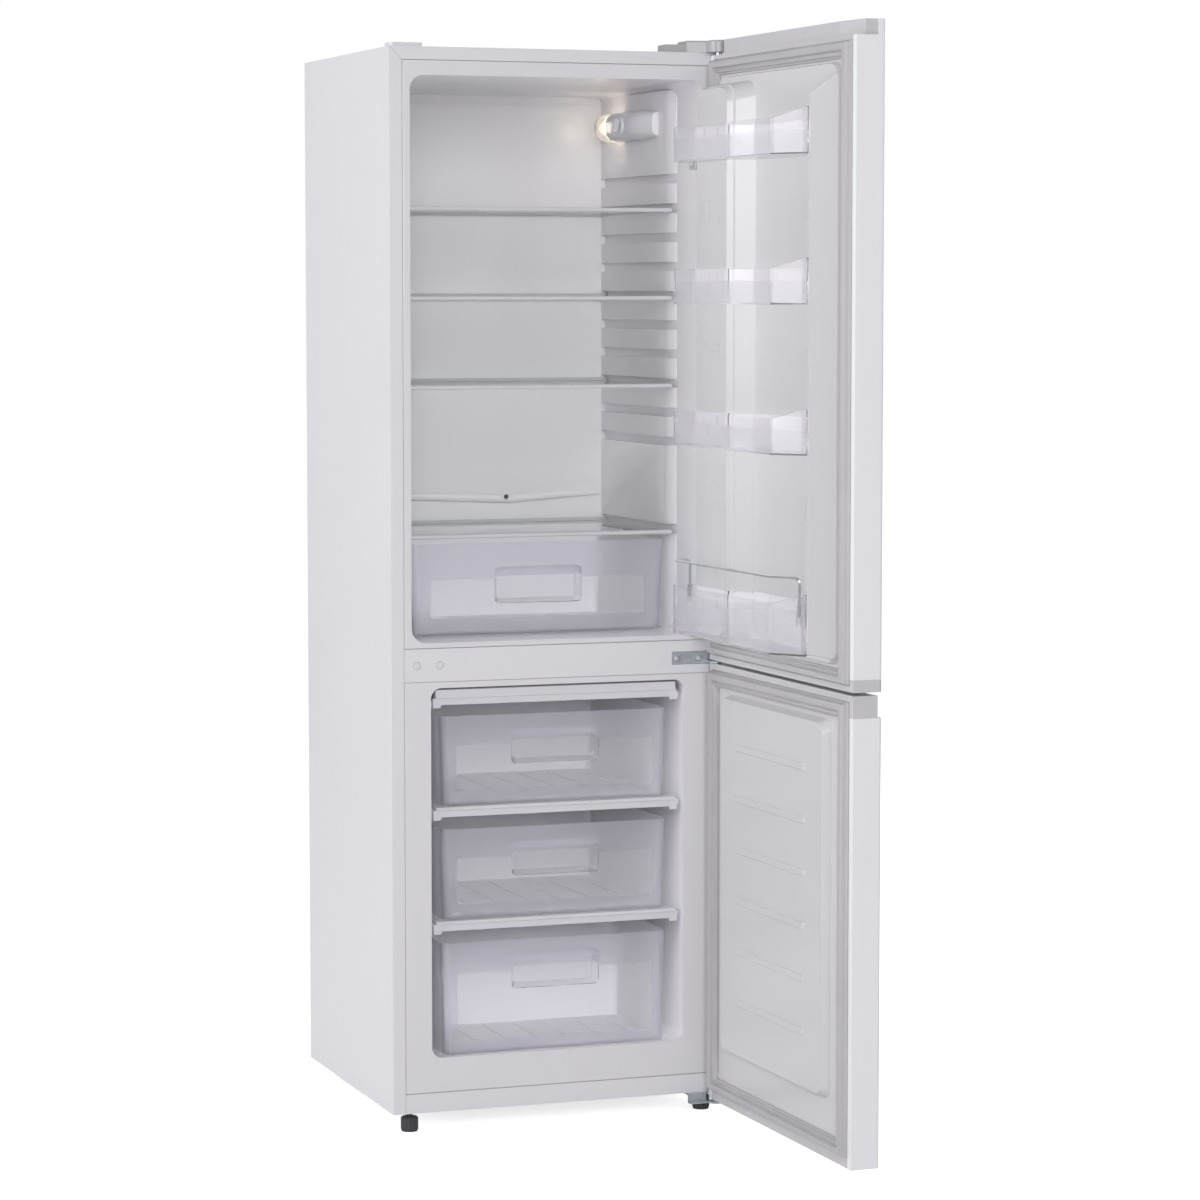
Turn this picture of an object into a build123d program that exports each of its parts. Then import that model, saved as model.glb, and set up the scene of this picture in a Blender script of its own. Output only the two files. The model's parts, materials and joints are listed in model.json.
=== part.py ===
"""Bottom freezer refrigerator with both doors open, sizes in millimetres, Z up.

The cabinet is drawn with X across, Y from the front flange to the rear and Z from the floor.
The doors are drawn shut and then swung open about the hinge axis.  Last of all everything is
moved so that the origin lies on the floor under the middle of the whole outline, to 0.1 mm.
"""
from build123d import *
from math import cos, radians, sin
import os

# --- Cabinet -------------------------------------------------------------------------------
cabinet_width = 595.0
cabinet_depth = 525.0
floor_clearance = 31.0
steel_sheet = 0.9
flange_width = 21.5
back_inset = 8.0
seam_gap = 0.5
seat_gap = 0.3

# --- Compartments, each with the foam left round it ------------------------------------------
liner_wall = 3.0
mouth_round = 2.5
fridge_side_foam = 35.5
fridge_rear_foam = 55.0
fridge_height = 950.0
fridge_side_draft = 11.0
fridge_ceiling_draft = 8.0
fridge_floor_rise = 3.0
liner_corner = 25.0
roof_foam = 47.0
freezer_side_foam = 69.0
freezer_rear_foam = 77.0
freezer_floor_foam = 93.0
freezer_side_draft = 7.0
freezer_corner = 18.0
rail_over_freezer = 11.0
mid_rail_height = 56.5
mid_rail_lip = 18.0
floor_over_rail = 9.5
plinth_height = 33.5

# --- Compressor bay ------------------------------------------------------------------------
bay_depth = 195.0
bay_height = 240.0
bay_roof_foam = 44.0
bay_front_foam = 47.0
hump_round = 20.0

plate_lift = 11.0
plate_sheet = 1.6
plate_hem = 9.0
plate_rear_gap = 6.0
compressor_x = -40.0
compressor_inset = 93.0
mount_spread_x = 88.0
mount_spread_y = 48.0
mount_height = 12.0
mount_radius = 10.0
foot_plate = 3.0
pot_radius = 82.0
pot_height = 150.0
pot_lid_round = 30.0
relay_reach = 34.0
relay_width = 60.0
relay_height = 66.0
relay_lift = 55.0
gland_radius = 8.0
gland_bore = 4.2
gland_length = 14.0
tray_depth = 34.0
tray_half_width = 74.0
tray_sheet = 2.0
tray_flare = 5.0
tray_margin = 9.0
rear_foot_inset = 62.5
rear_foot_setback = 47.0
rear_foot_half = 15.0

# --- Shelf runners on the fridge side walls --------------------------------------------------
pad_reach = 19.0
pad_nose = 4.0
pad_front = 118.0
pad_ramp = 20.0
pad_headroom = 11.0
slot_height = 16.0
slot_pitch = 50.8
slot_count = 10
top_slot_drop = 171.7
cover_slot_height = 17.0

# --- Rear wall and drain ---------------------------------------------------------------------
plate_side_gap = 7.0
plate_top_gap = 23.0
plate_edge_rise = 64.0
plate_rise = 4.0
gutter_fall = 13.0
gutter_height = 5.0
drain_x = 60.0
drain_radius = 4.5
drain_tube = 8.0
drain_tube_wall = 2.0
drain_inset = 25.0

# --- Glass shelves -------------------------------------------------------------------------
shelf_slots = (1, 4, 7)
shelf_side_gap = 2.5
shelf_front = 112.0
shelf_back_gap = 5.0
glass_inset = 3.0
glass_thickness = 4.0
trim_height = 7.2
trim_seat = 1.4
trim_depth = 13.0
rear_lip_height = 11.0

# --- Vegetable drawer ----------------------------------------------------------------------
crisper_side_gap = 11.0
crisper_front = 106.0
crisper_back_gap = 18.0
crisper_height = 156.0
crisper_headroom = 8.0
crisper_side_draft = 7.0
crisper_grip_drop = 42.0

# --- Freezer drawers and evaporator shelves, from the top down --------------------------------
level_heights = (187.0, 195.5, 233.5)
drawer_headroom = (35.0, 41.5, 41.5)
ceiling_gap = 16.0
evaporator_side_gap = 7.5
evaporator_front = 28.0
evaporator_back_gap = 15.0
evaporator_tube = 7.0
evaporator_plate = 1.2
evaporator_runs = 6
run_margin = 15.0
ledge_height = 9.0
ledge_gap = 6.0
top_trim_height = 28.0
top_trim_rise = 13.5
top_trim_band = 16.0
trim_drop = 19.0
trim_band = 7.0
trim_reach = 16.0
clip_width = 14.0
clip_drop = 5.0
drawer_side_gap = 17.0
drawer_reach = 10.0
drawer_back_gap = 32.0
low_drawer_gap = 11.0
drawer_side_draft = 5.0
tray_wall = 2.5
tray_corner = 14.0
grip_half_width = 80.0
grip_height = 64.0
grip_depth = 20.0
grip_lip = 15.0
grip_below_rim = 22.0
rib_height = 2.5
rib_width = 12.0
rib_count = 7

# --- Doors ---------------------------------------------------------------------------------
door_thickness = 51.0
gasket_gap = 14.0
skin_corner = 6.0
hinge_inset = 16.5
hinge_setback = 6.4
door_open_angle = 91.0
upper_door_lift = 22.3
door_parting = 5.3
deck_drop = 5.0
lip_rise = 25.0
lip_depth = 37.5
lower_door_drop = 10.3
grip_cap_height = 36.0
grip_cap_depth = 43.0
scoop_radius = 22.0
scoop_rise = 17.0
scoop_inset = 10.0
door_cap_height = 20.0
groove_start = 70.0
groove_end_inset = 12.0
groove_near = 14.0
groove_far = 43.0
groove_height = 14.0
raised_start = 38.0
raised_corner_inset = 80.0
raised_corner_round = 90.0
gasket_inset = 14.0
gasket_width = 31.0
gasket_foot = 24.0
gasket_head = 28.0
gasket_taper = 3.0
gasket_rest = 0.4
door_liner_wall = 2.5
upper_seal_lift = 10.7
upper_seal_drop = 8.0
lower_seal_lift = 19.3
lower_seal_drop = 11.0

# --- Upper door liner ------------------------------------------------------------------------
plateau_inset = 50.0
plateau_height = 9.0
plateau_drop = 5.0
plateau_rise = 3.0
dike_height = 50.0
dike_step = 10.0
hinge_dike_start = 60.0
hinge_dike_end = 190.0
hinge_dike_spread = 28.0
free_dike_inset = 76.0
free_dike_width = 12.0
free_dike_spread = 14.0
dike_headroom = 21.0
dike_footroom = 13.0
free_dike_drop = 25.0
pocket_depth = 1.8
pocket_height = 38.0
pocket_pitch = 120.0
pocket_drop = 104.0
pocket_rows = 6
pocket_offsets = ((-93.0, -73.0), (-35.0, -5.0))
narrow_pocket_margin = 2.0

# --- Door bins -------------------------------------------------------------------------------
bin_front = 90.0
bin_start = 46.0
bin_end_inset = 68.0
bin_corner_inset = 126.0
bin_rise = 17.0
bin_drops = (17.0, 15.0, 14.5)
bin_height = 58.0
bottle_lift = 10.0
bottle_height = 82.0
bottle_pocket_rise = 23.0
bin_wall = 2.5
bin_gap = 0.4
bin_corner_radius = 12.0
bin_end_radius = 20.0
hook_height = 22.0
rail_wire = 4.6
rail_rise = 42.0
rail_bend = 7.0

# --- Lower door liner ------------------------------------------------------------------------
panel_side_gap = 11.5
panel_drop = 4.0
panel_headroom = 17.0
panel_height = 15.0
panel_draft = 7.0
emboss_start_inset = 67.5
emboss_end_inset = 73.5
emboss_height = 14.0
emboss_drop = 92.0
emboss_pitch = 87.0
emboss_count = 6
emboss_rise = 2.5

# --- Hinges and feet -------------------------------------------------------------------------
hinge_plate = 2.6
hinge_plate_depth = 32.0
hinge_plate_back = 40.0
hinge_plate_reach = 44.0
hinge_pin_radius = 3.5
pin_clearance = 0.4
pin_reach = 12.0
hinge_arm_radius = 12.0
mid_plate_reach = 74.0
mid_plate_end = 8.0
mid_plate_lift = 15.5
mid_plate_height = 21.3
bracket_sheet = 3.0
bracket_gap = 2.7
bracket_reach = 46.0
foot_inset = 31.5
foot_y = 12.0
foot_top_radius = 15.0
foot_top_gap = 6.0
foot_crank_gap = 2.4
foot_stud_radius = 5.0
foot_flutes = 12
stud_reach = 13.0
screw_radius = 2.4
screw_length = 10.0
top_screw_offsets = ((-38.0, 14.0), (-38.0, 32.0), (4.0, 26.0))
mid_screw_offsets = (-64.4, -23.8)
mid_screw_rise = 9.5
screw_clearance = 0.1
screw_depth = 13.0
hood_height = 20.0
hood_step = 7.0
hood_wall = 2.0
hood_chamfer = 2.5

# --- Thermostat and lamp ---------------------------------------------------------------------
stat_length = 175.0
lens_length = 80.0
lens_back_gap = 42.0
stat_drop = 93.0
stat_height = 52.0
stat_reach = 36.0
stat_slope = 70.0
lens_wall = 1.5
knob_offset = 78.0
knob_radius = 17.5

# --- Smaller fittings --------------------------------------------------------------------------
plug_rise = 3.0
plug_insets = (43.9, 84.5)
plug_radius = 6.5
cap_length = 57.0
cap_width = 36.0
cap_rise = 6.0
switch_y = 43.0
switch_drop = 141.5
switch_length = 32.0
switch_height = 18.0
switch_inset = 1.2

# --- Values that follow from the sizes above ---------------------------------------------------
half_width = cabinet_width / 2
liner_edge = half_width - flange_width
back_plane = cabinet_depth - back_inset
cabinet_bottom = floor_clearance
plinth_top = cabinet_bottom + plinth_height
bay_front = back_plane - bay_depth
bay_top = cabinet_bottom + bay_height

freezer_half_width = half_width - freezer_side_foam
freezer_depth = back_plane - freezer_rear_foam
freezer_floor = cabinet_bottom + freezer_floor_foam
hump_front = bay_front - bay_front_foam
hump_top = bay_top + bay_roof_foam
evaporator_tops = tuple(freezer_floor + sum(level_heights[n:]) for n in range(3))
freezer_ceiling = evaporator_tops[0] + ceiling_gap
evaporator_half_width = freezer_half_width - evaporator_side_gap
evaporator_back = freezer_depth - evaporator_back_gap
drawer_half_width = evaporator_half_width - drawer_side_gap
drawer_front = evaporator_front - drawer_reach
drawer_back = freezer_depth - drawer_back_gap
low_drawer_back = hump_front - low_drawer_gap

rail_bottom = freezer_ceiling + rail_over_freezer
rail_top = rail_bottom + mid_rail_height
fridge_half_width = half_width - fridge_side_foam
fridge_depth = back_plane - fridge_rear_foam
fridge_floor = rail_top + floor_over_rail
fridge_ceiling = fridge_floor + fridge_height
cabinet_top = fridge_ceiling + roof_foam

pad_face = fridge_half_width - pad_reach
pad_top = fridge_ceiling - pad_headroom
top_slot_floor = fridge_ceiling - top_slot_drop
cover_slot_floor = fridge_floor + fridge_floor_rise + crisper_height + crisper_headroom
shelf_half_width = fridge_half_width - fridge_side_draft - shelf_side_gap
shelf_back = fridge_depth - shelf_back_gap
shelf_floors = tuple(top_slot_floor - slot_pitch * n for n in shelf_slots)
crisper_half_width = pad_face - crisper_side_gap
crisper_back = fridge_depth - crisper_back_gap
crisper_floor = fridge_floor + fridge_floor_rise + seat_gap
plate_half_width = pad_face - plate_side_gap
plate_top = fridge_ceiling - plate_top_gap
plate_edge = cover_slot_floor + plate_edge_rise
drain_z = plate_edge - gutter_fall
drain_column = back_plane - drain_inset

lens_back = fridge_depth - lens_back_gap
stat_back = lens_back - lens_length
stat_front = stat_back - stat_length
stat_bottom = fridge_ceiling - stat_drop
stat_middle = stat_bottom + stat_height / 2
knob_y = stat_back - knob_offset
switch_z = fridge_ceiling - switch_drop

plate_height = cabinet_bottom + plate_lift
compressor_y = back_plane - compressor_inset
compressor_foot = plate_height + plate_sheet + mount_height
pot_bottom = compressor_foot + foot_plate
drip_tray_bottom = pot_bottom + pot_height + seat_gap
rear_foot_x = half_width - rear_foot_inset
rear_foot_y = back_plane - rear_foot_setback
foot_x = half_width - foot_inset
foot_height = cabinet_bottom - foot_top_gap
stud_top = cabinet_bottom + stud_reach

inner_face = -gasket_gap
hinge_x = half_width - hinge_inset
hinge_y = inner_face - hinge_setback
upper_door_bottom = rail_bottom + upper_door_lift
upper_door_deck = cabinet_top - deck_drop
door_top = upper_door_deck + lip_rise
lower_door_bottom = cabinet_bottom - lower_door_drop
lower_cap_top = upper_door_bottom - door_parting
lower_panel_top = lower_cap_top - grip_cap_height
upper_seal = (upper_door_bottom + upper_seal_lift, upper_door_deck - upper_seal_drop)
lower_seal = (lower_door_bottom + lower_seal_lift, lower_cap_top - lower_seal_drop)
hood_top = cabinet_top + hood_height
mid_plate_left = hinge_x - mid_plate_reach
mid_plate_right = hinge_x + mid_plate_end
mid_plate_bottom = rail_bottom + mid_plate_lift
mid_screw_z = mid_plate_bottom + mid_screw_rise
mid_screws = tuple(hinge_x + offset for offset in mid_screw_offsets)
top_screws = tuple((hinge_x + offset, y) for offset, y in top_screw_offsets)
plug_z = mid_screw_z + plug_rise
plug_places = tuple(inset - half_width for inset in plug_insets)

hinge_dike_foot = hinge_dike_end + hinge_dike_spread
free_dike_start = cabinet_width - free_dike_inset
free_dike_end = free_dike_start + free_dike_width
free_dike_foot = free_dike_end + free_dike_spread
dike_top = fridge_ceiling - dike_headroom
dike_bottom = fridge_floor + dike_footroom
free_dike_top = dike_top - free_dike_drop
pocket_first = dike_top - pocket_drop
pocket_spans = tuple((hinge_dike_end + s0, hinge_dike_end + s1) for s0, s1 in pocket_offsets)
pocket_spans += ((free_dike_start + narrow_pocket_margin, free_dike_end - narrow_pocket_margin),)
bin_end = cabinet_width - bin_end_inset
bin_corner = cabinet_width - bin_corner_inset
bin_pockets = tuple(pocket_first - 2 * pocket_pitch * n for n in range(len(bin_drops)))
bottle_floor = fridge_floor + bottle_lift
bottle_pocket = bottle_floor + bottle_pocket_rise
bottle_rim = bottle_floor + bottle_height
rail_height = bottle_rim + rail_rise
panel_start = freezer_side_foam + panel_side_gap
panel_end = cabinet_width - panel_start
panel_bottom = freezer_floor - panel_drop
panel_top = freezer_ceiling - panel_headroom
emboss_start = panel_start + emboss_start_inset
emboss_end = panel_end - emboss_end_inset
emboss_first = panel_top - emboss_drop

swing = radians(door_open_angle)
door_reach = cabinet_width - hinge_inset
door_outset = door_thickness - hinge_setback
outline_right = hinge_x - door_reach * cos(swing) + door_outset * sin(swing)
outline_front = hinge_y - door_reach * sin(swing) + hinge_setback * cos(swing)
origin_x = round((outline_right - half_width) / 2, 1)
origin_y = round((outline_front + cabinet_depth) / 2, 1)


# --- Drawing helpers ---------------------------------------------------------------------------
def block(x0, x1, y0, y1, z0, z1):
    """A box between two corners."""
    middle = Pos((x0 + x1) / 2, (y0 + y1) / 2, (z0 + z1) / 2)
    return middle * Box(x1 - x0, y1 - y0, z1 - z0)


def upright_plane(x, y, z):
    """A plane that faces the viewer in front, with X across and Z up."""
    return Plane(origin=(x, y, z), x_dir=(1, 0, 0), z_dir=(0, -1, 0))


def drafted_solid(base, top, along, radius):
    """Flat drafted sides between two rectangles, with the edges that join them rounded."""
    faces = [Face(Wire.make_polygon(base)), Face(Wire.make_polygon(top))]
    for n in range(4):
        faces.append(Face(Wire.make_polygon([base[n - 1], base[n], top[n], top[n - 1]])))
    body = Solid(Shell(faces))
    return fillet(body.edges().group_by(along)[1], radius)


def upright_loft(near, far, radius):
    """A drafted block between two standing rectangles (x0, x1, z0, z1, y)."""
    near_corners, far_corners = [[(x0, y, z0), (x1, y, z0), (x1, y, z1), (x0, y, z1)]
                                 for x0, x1, z0, z1, y in (near, far)]
    return drafted_solid(near_corners, far_corners, Axis.Y, radius)


def lying_loft(low, high, radius):
    """A drafted block between two lying rectangles (x0, x1, y0, y1, z)."""
    low_corners, high_corners = [[(x0, y0, z), (x1, y0, z), (x1, y1, z), (x0, y1, z)]
                                 for x0, x1, y0, y1, z in (low, high)]
    return drafted_solid(low_corners, high_corners, Axis.Z, radius)


def prism_along_x(points, x0, x1):
    """A profile of (y, z) points drawn out from x0 to x1."""
    side = Plane(origin=(x0, 0, 0), x_dir=(0, 1, 0), z_dir=(1, 0, 0))
    return extrude(side * make_face(Polyline(*points, close=True)), x1 - x0)


def prism_along_z(points, z0, z1):
    """A plan of (x, y) points drawn up from z0 to z1."""
    return extrude(Pos(0, 0, z0) * make_face(Polyline(*points, close=True)), z1 - z0)


def rod(x, y, z0, z1, radius):
    """An upright cylinder."""
    return Pos(x, y, (z0 + z1) / 2) * Cylinder(radius, z1 - z0)


def tube_along(points, radius, bend, sides):
    """A bar of many flat sides through the given points, with its corners bent."""
    path = FilletPolyline(*points, radius=bend)
    start = Plane(origin=path @ 0, z_dir=path % 0)
    return sweep(start * RegularPolygon(radius, sides), path)


def mitred_bar(points, radius, sides):
    """A bar of flat sides through the given points, mitred at each of them."""
    path = Polyline(*points)
    start = Plane(origin=path @ 0, z_dir=path % 0)
    return sweep(start * RegularPolygon(radius, sides), path, transition=Transition.RIGHT)


def bent_line(points, radius, cut):
    """A copper line of eight flat sides, each corner cut off in one short run."""
    route = [points[0]]
    for before, corner, after in zip(points, points[1:], points[2:]):
        for end in (before, after):
            run = Vector(*end) - Vector(*corner)
            route.append(tuple(Vector(*corner) + run.normalized() * cut))
    return mitred_bar(route + [points[-1]], radius, 8)


# --- Cabinet shell -----------------------------------------------------------------------------
def cabinet_shell():
    outer = block(-half_width, half_width, 0, cabinet_depth, cabinet_bottom, cabinet_top)
    inner_half = half_width - steel_sheet
    inside = block(-inner_half, inner_half, steel_sheet, cabinet_depth + 1,
                   cabinet_bottom - 1, cabinet_top - steel_sheet)
    mouth = block(-liner_edge, liner_edge, -1, steel_sheet + 1,
                  cabinet_bottom - 1, cabinet_top - flange_width)
    shell = outer - inside - mouth - mid_plate_pocket()
    for bore in screw_bores():
        shell -= bore
    return shell


def mid_plate_pocket():
    """The recess in the rail and the flange that the middle hinge's plate lies in."""
    return block(mid_plate_left - seam_gap, mid_plate_right + seam_gap, -1, hinge_plate,
                 mid_plate_bottom - seam_gap, mid_plate_bottom + mid_plate_height + seam_gap)


def screw_bores():
    """Holes for the hinge screws, down through the roof and back through the rail."""
    radius = screw_radius + screw_clearance
    bores = [rod(x, y, cabinet_top - screw_depth, cabinet_top + 1, radius)
             for x, y in top_screws]
    for x in mid_screws:
        along = Pos(x, screw_depth / 2, mid_screw_z) * Rot(90, 0, 0)
        bores.append(along * Cylinder(radius, screw_depth + 2))
    return bores


def back_panel():
    inner_half = half_width - steel_sheet
    sheet = steel_sheet
    profile = [(back_plane, cabinet_top - sheet), (back_plane, bay_top),
               (bay_front, bay_top), (bay_front, cabinet_bottom + sheet),
               (bay_front - sheet, cabinet_bottom + sheet), (bay_front - sheet, bay_top + sheet),
               (back_plane - sheet, bay_top + sheet), (back_plane - sheet, cabinet_top - sheet)]
    drain = rod(drain_x, drain_column, bay_top - 1, bay_top + 2, drain_tube + seam_gap)
    return prism_along_x(profile, -inner_half, inner_half) - drain


def base_tray():
    edge = liner_edge - seam_gap
    web = block(-edge, edge, 0, liner_wall, cabinet_bottom, plinth_top - seam_gap)
    inner_half = half_width - steel_sheet
    floor = block(-inner_half, inner_half, liner_wall, bay_front,
                  cabinet_bottom, cabinet_bottom + steel_sheet)
    tray = web + floor
    for side in (-1, 1):
        tray -= rod(side * foot_x, foot_y, cabinet_bottom - 1, cabinet_bottom + 2,
                    foot_stud_radius + pin_clearance)
    return tray


def mid_rail():
    edge = liner_edge - seam_gap
    low = rail_bottom + seam_gap / 2
    high = rail_top - seam_gap / 2
    web = liner_wall
    inside = web - seat_gap
    profile = [(0, low), (mid_rail_lip, low), (mid_rail_lip, low + inside), (web, low + inside),
               (web, high - inside), (mid_rail_lip, high - inside), (mid_rail_lip, high),
               (0, high)]
    rail = prism_along_x(profile, -edge, edge)
    for x in plug_places:
        rail -= Pos(x, 0, plug_z) * Rot(90, 0, 0) * Cylinder(plug_radius + seat_gap, 10)
    for bore in screw_bores():
        rail -= bore
    return rail - mid_plate_pocket()


# --- Liners and insulation -----------------------------------------------------------------------
def fridge_space(grow):
    """The fridge compartment as a solid, grown outwards by a wall."""
    half = fridge_half_width + grow
    near = (-half, half, fridge_floor - grow, fridge_ceiling + grow, 0)
    back_half = half - fridge_side_draft
    far = (-back_half, back_half, fridge_floor + fridge_floor_rise - grow,
           fridge_ceiling - fridge_ceiling_draft + grow, fridge_depth + grow)
    return upright_loft(near, far, liner_corner + grow)


def freezer_space(grow):
    """The freezer compartment as a solid, grown outwards by a wall."""
    half = freezer_half_width + grow
    near = (-half, half, freezer_floor - grow, freezer_ceiling + grow, 0)
    back_half = half - freezer_side_draft
    far = (-back_half, back_half, freezer_floor - grow, freezer_ceiling + grow,
           freezer_depth + grow)
    hump = block(-half - 1, half + 1, hump_front + grow, freezer_depth + grow + 1,
                 freezer_floor - grow - 1, hump_top - grow)
    edge = hump.edges().filter_by(Axis.X).group_by(Axis.Z)[-1].sort_by(Axis.Y)[0]
    hump = fillet(edge, hump_round)
    return upright_loft(near, far, freezer_corner + grow) - hump


def runner_plan(side):
    """Plan of a shelf runner, with its ramp at the front."""
    wall = fridge_half_width + 2 * liner_wall
    points = [(wall, pad_front), (fridge_half_width - pad_nose, pad_front),
              (pad_face, pad_front + pad_ramp), (pad_face, fridge_depth + liner_wall),
              (wall, fridge_depth + liner_wall)]
    return [(side * x, y) for x, y in points]


def runner_heights():
    """Bottom and top of every runner, from the ceiling down."""
    heights = [(top_slot_floor + slot_height, pad_top)]
    for n in range(slot_count - 1):
        floor = top_slot_floor - slot_pitch * n
        heights.append((floor - slot_pitch + slot_height, floor))
    last_floor = top_slot_floor - slot_pitch * (slot_count - 1)
    heights.append((cover_slot_floor + cover_slot_height, last_floor))
    heights.append((fridge_floor - 2 * liner_wall, cover_slot_floor))
    return heights


def fridge_liner():
    space = fridge_space(0)
    for side in (-1, 1):
        for low, high in runner_heights():
            space -= prism_along_z(runner_plan(side), low, high)
    space -= rear_wall_panel()
    edge = liner_edge - seam_gap
    flange = block(-edge, edge, 0, liner_wall, rail_top + seam_gap / 2,
                   cabinet_top - flange_width - seam_gap)
    drain = Pos(drain_x, fridge_depth, drain_z) * Rot(90, 0, 0) * Cylinder(drain_radius, 60)
    switch = block(fridge_half_width - 9, fridge_half_width + 2 * liner_wall,
                   switch_y - switch_length / 2 - seat_gap, switch_y + switch_length / 2 + seat_gap,
                   switch_z - switch_height / 2 - seat_gap, switch_z + switch_height / 2 + seat_gap)
    liner = fridge_space(liner_wall) + flange - space - drain - switch
    return fillet(mouth_edges(liner, fridge_half_width, fridge_floor, fridge_ceiling), mouth_round)


def mouth_edges(liner, half, low, high):
    """The edges round a compartment's mouth, in the plane of the cabinet's front."""
    edges = liner.edges().group_by(Axis.Y)[0]
    box = block(-half - 1, half + 1, -1, 1, low - 1, high + 1).bounding_box()
    return [e for e in edges if box.is_inside(e.bounding_box())]


def rear_wall_panel():
    """The cold plate's raised field, whose lower edge falls to the drain, and its gutter."""
    front = fridge_depth - plate_rise
    low = plate_edge - gutter_fall
    field = [(-plate_half_width, plate_edge), (drain_x, low + gutter_height),
             (plate_half_width, plate_edge), (plate_half_width, plate_top),
             (-plate_half_width, plate_top)]
    ledge = [(-plate_half_width, plate_edge - gutter_height), (drain_x, low - gutter_height),
             (plate_half_width, plate_edge - gutter_height),
             (plate_half_width, plate_edge - 2 * gutter_height),
             (drain_x, low - 2 * gutter_height),
             (-plate_half_width, plate_edge - 2 * gutter_height)]
    reach = liner_wall + plate_rise
    raised = extrude(upright_plane(0, front, 0) * make_face(Polyline(*field, close=True)), -reach)
    gutter = extrude(upright_plane(0, front - plate_rise, 0)
                     * make_face(Polyline(*ledge, close=True)), -reach - plate_rise)
    return raised + gutter


def freezer_liner():
    space = freezer_space(0)
    for top in evaporator_tops:
        ledge_top = top - evaporator_tube - evaporator_plate - seat_gap
        for side in (-1, 1):
            near = side * (drawer_half_width + ledge_gap)
            far = side * (freezer_half_width + 2 * liner_wall)
            space -= block(min(near, far), max(near, far), evaporator_front, freezer_depth,
                           ledge_top - ledge_height, ledge_top)
    edge = liner_edge - seam_gap
    flange = block(-edge, edge, 0, liner_wall, plinth_top, rail_bottom - seam_gap / 2)
    liner = freezer_space(liner_wall) + flange - space
    return fillet(mouth_edges(liner, freezer_half_width, freezer_floor, freezer_ceiling),
                  mouth_round)


def insulation():
    inner_half = half_width - steel_sheet
    foam = block(-inner_half, inner_half, liner_wall, back_plane - steel_sheet,
                 cabinet_bottom + steel_sheet, cabinet_top - steel_sheet)
    bay = block(-half_width, half_width, bay_front - steel_sheet, cabinet_depth,
                cabinet_bottom - 1, bay_top + steel_sheet)
    wall = liner_wall
    lip = mid_rail_lip
    channel = prism_along_x([(0, rail_bottom), (lip, rail_bottom), (lip, rail_bottom + wall),
                             (wall, rail_bottom + wall), (wall, rail_top - wall),
                             (lip, rail_top - wall), (lip, rail_top), (0, rail_top)],
                            -liner_edge, liner_edge)
    foam = foam - bay - channel - fridge_space(liner_wall) - freezer_space(liner_wall)
    foam -= rod(drain_x, drain_column, bay_top - 1, drain_z + drain_tube + 1,
                drain_tube + seam_gap)
    side = drain_tube + 1
    foam -= block(drain_x - side, drain_x + side, fridge_depth, drain_column,
                  drain_z - side, drain_z + side)
    for side in (-1, 1):
        foam -= rod(side * foot_x, foot_y, cabinet_bottom, stud_top + 1,
                    foot_stud_radius + pin_clearance)
    for bore in screw_bores():
        foam -= bore
    return foam


# --- Small cabinet parts -------------------------------------------------------------------------
def hole_plugs():
    """The cap over the spare hinge hole and the blanking plugs of the rail."""
    left = 1 - half_width
    cap = block(left, left + cap_length, -2, cap_width - 2, cabinet_top, cabinet_top + cap_rise)
    cap = fillet(cap.edges().filter_by(Axis.Z), 5)
    plugs = [cap]
    for x in plug_places:
        plugs.append(Pos(x, 1.4, plug_z) * Rot(90, 0, 0) * Cylinder(plug_radius, 3.2))
    return plugs


def evaporators():
    """One cooling shelf for each level: a plate with its serpentine tube on top."""
    shelves = []
    tube_radius = evaporator_tube / 2
    run_pitch = (evaporator_back - evaporator_front - 2 * run_margin) / (evaporator_runs - 1)
    bend_x = evaporator_half_width - 10 - run_pitch / 2
    for top in evaporator_tops:
        height = top - tube_radius
        points = []
        for n in range(evaporator_runs):
            y = evaporator_front + run_margin + n * run_pitch
            side = 1 if n % 2 == 0 else -1
            if n > 0:
                points.append((-side * (bend_x + run_pitch / 3), y - run_pitch / 3, height))
            points.extend([(-side * bend_x, y, height), (side * bend_x, y, height)])
            if n < evaporator_runs - 1:
                points.append((side * (bend_x + run_pitch / 3), y + run_pitch / 3, height))
        serpentine = mitred_bar(points, tube_radius, 6)
        low = top - evaporator_tube - evaporator_plate
        plate = block(-evaporator_half_width, evaporator_half_width, evaporator_front,
                      evaporator_back, low, low + evaporator_plate + 0.3)
        shelves.append(plate + serpentine)
    return shelves


def evaporator_trims():
    """The moulded front strip of each cooling shelf, in two bands with end clips."""
    trims = []
    front = evaporator_front - trim_reach
    for n, top in enumerate(evaporator_tops):
        high = top + (top_trim_rise if n == 0 else 0)
        band = top_trim_band if n == 0 else trim_band
        low = high - (top_trim_height if n == 0 else trim_drop)
        profile = [(evaporator_front - seat_gap, high), (front, high - 2),
                   (front - 2, high - band), (front + 2, high - band - 1), (front + 2, low),
                   (front + 5, low), (front + 5, low + 6),
                   (evaporator_front - seat_gap, top - evaporator_tube)]
        strip = prism_along_x(profile, -evaporator_half_width + 4, evaporator_half_width - 4)
        for side in (-1, 1):
            inner = side * (evaporator_half_width - clip_width)
            outer = side * evaporator_half_width
            strip += block(min(inner, outer), max(inner, outer), front + 1, front + 8,
                           low - clip_drop, high - band)
        trims.append(strip)
    return trims


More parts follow.
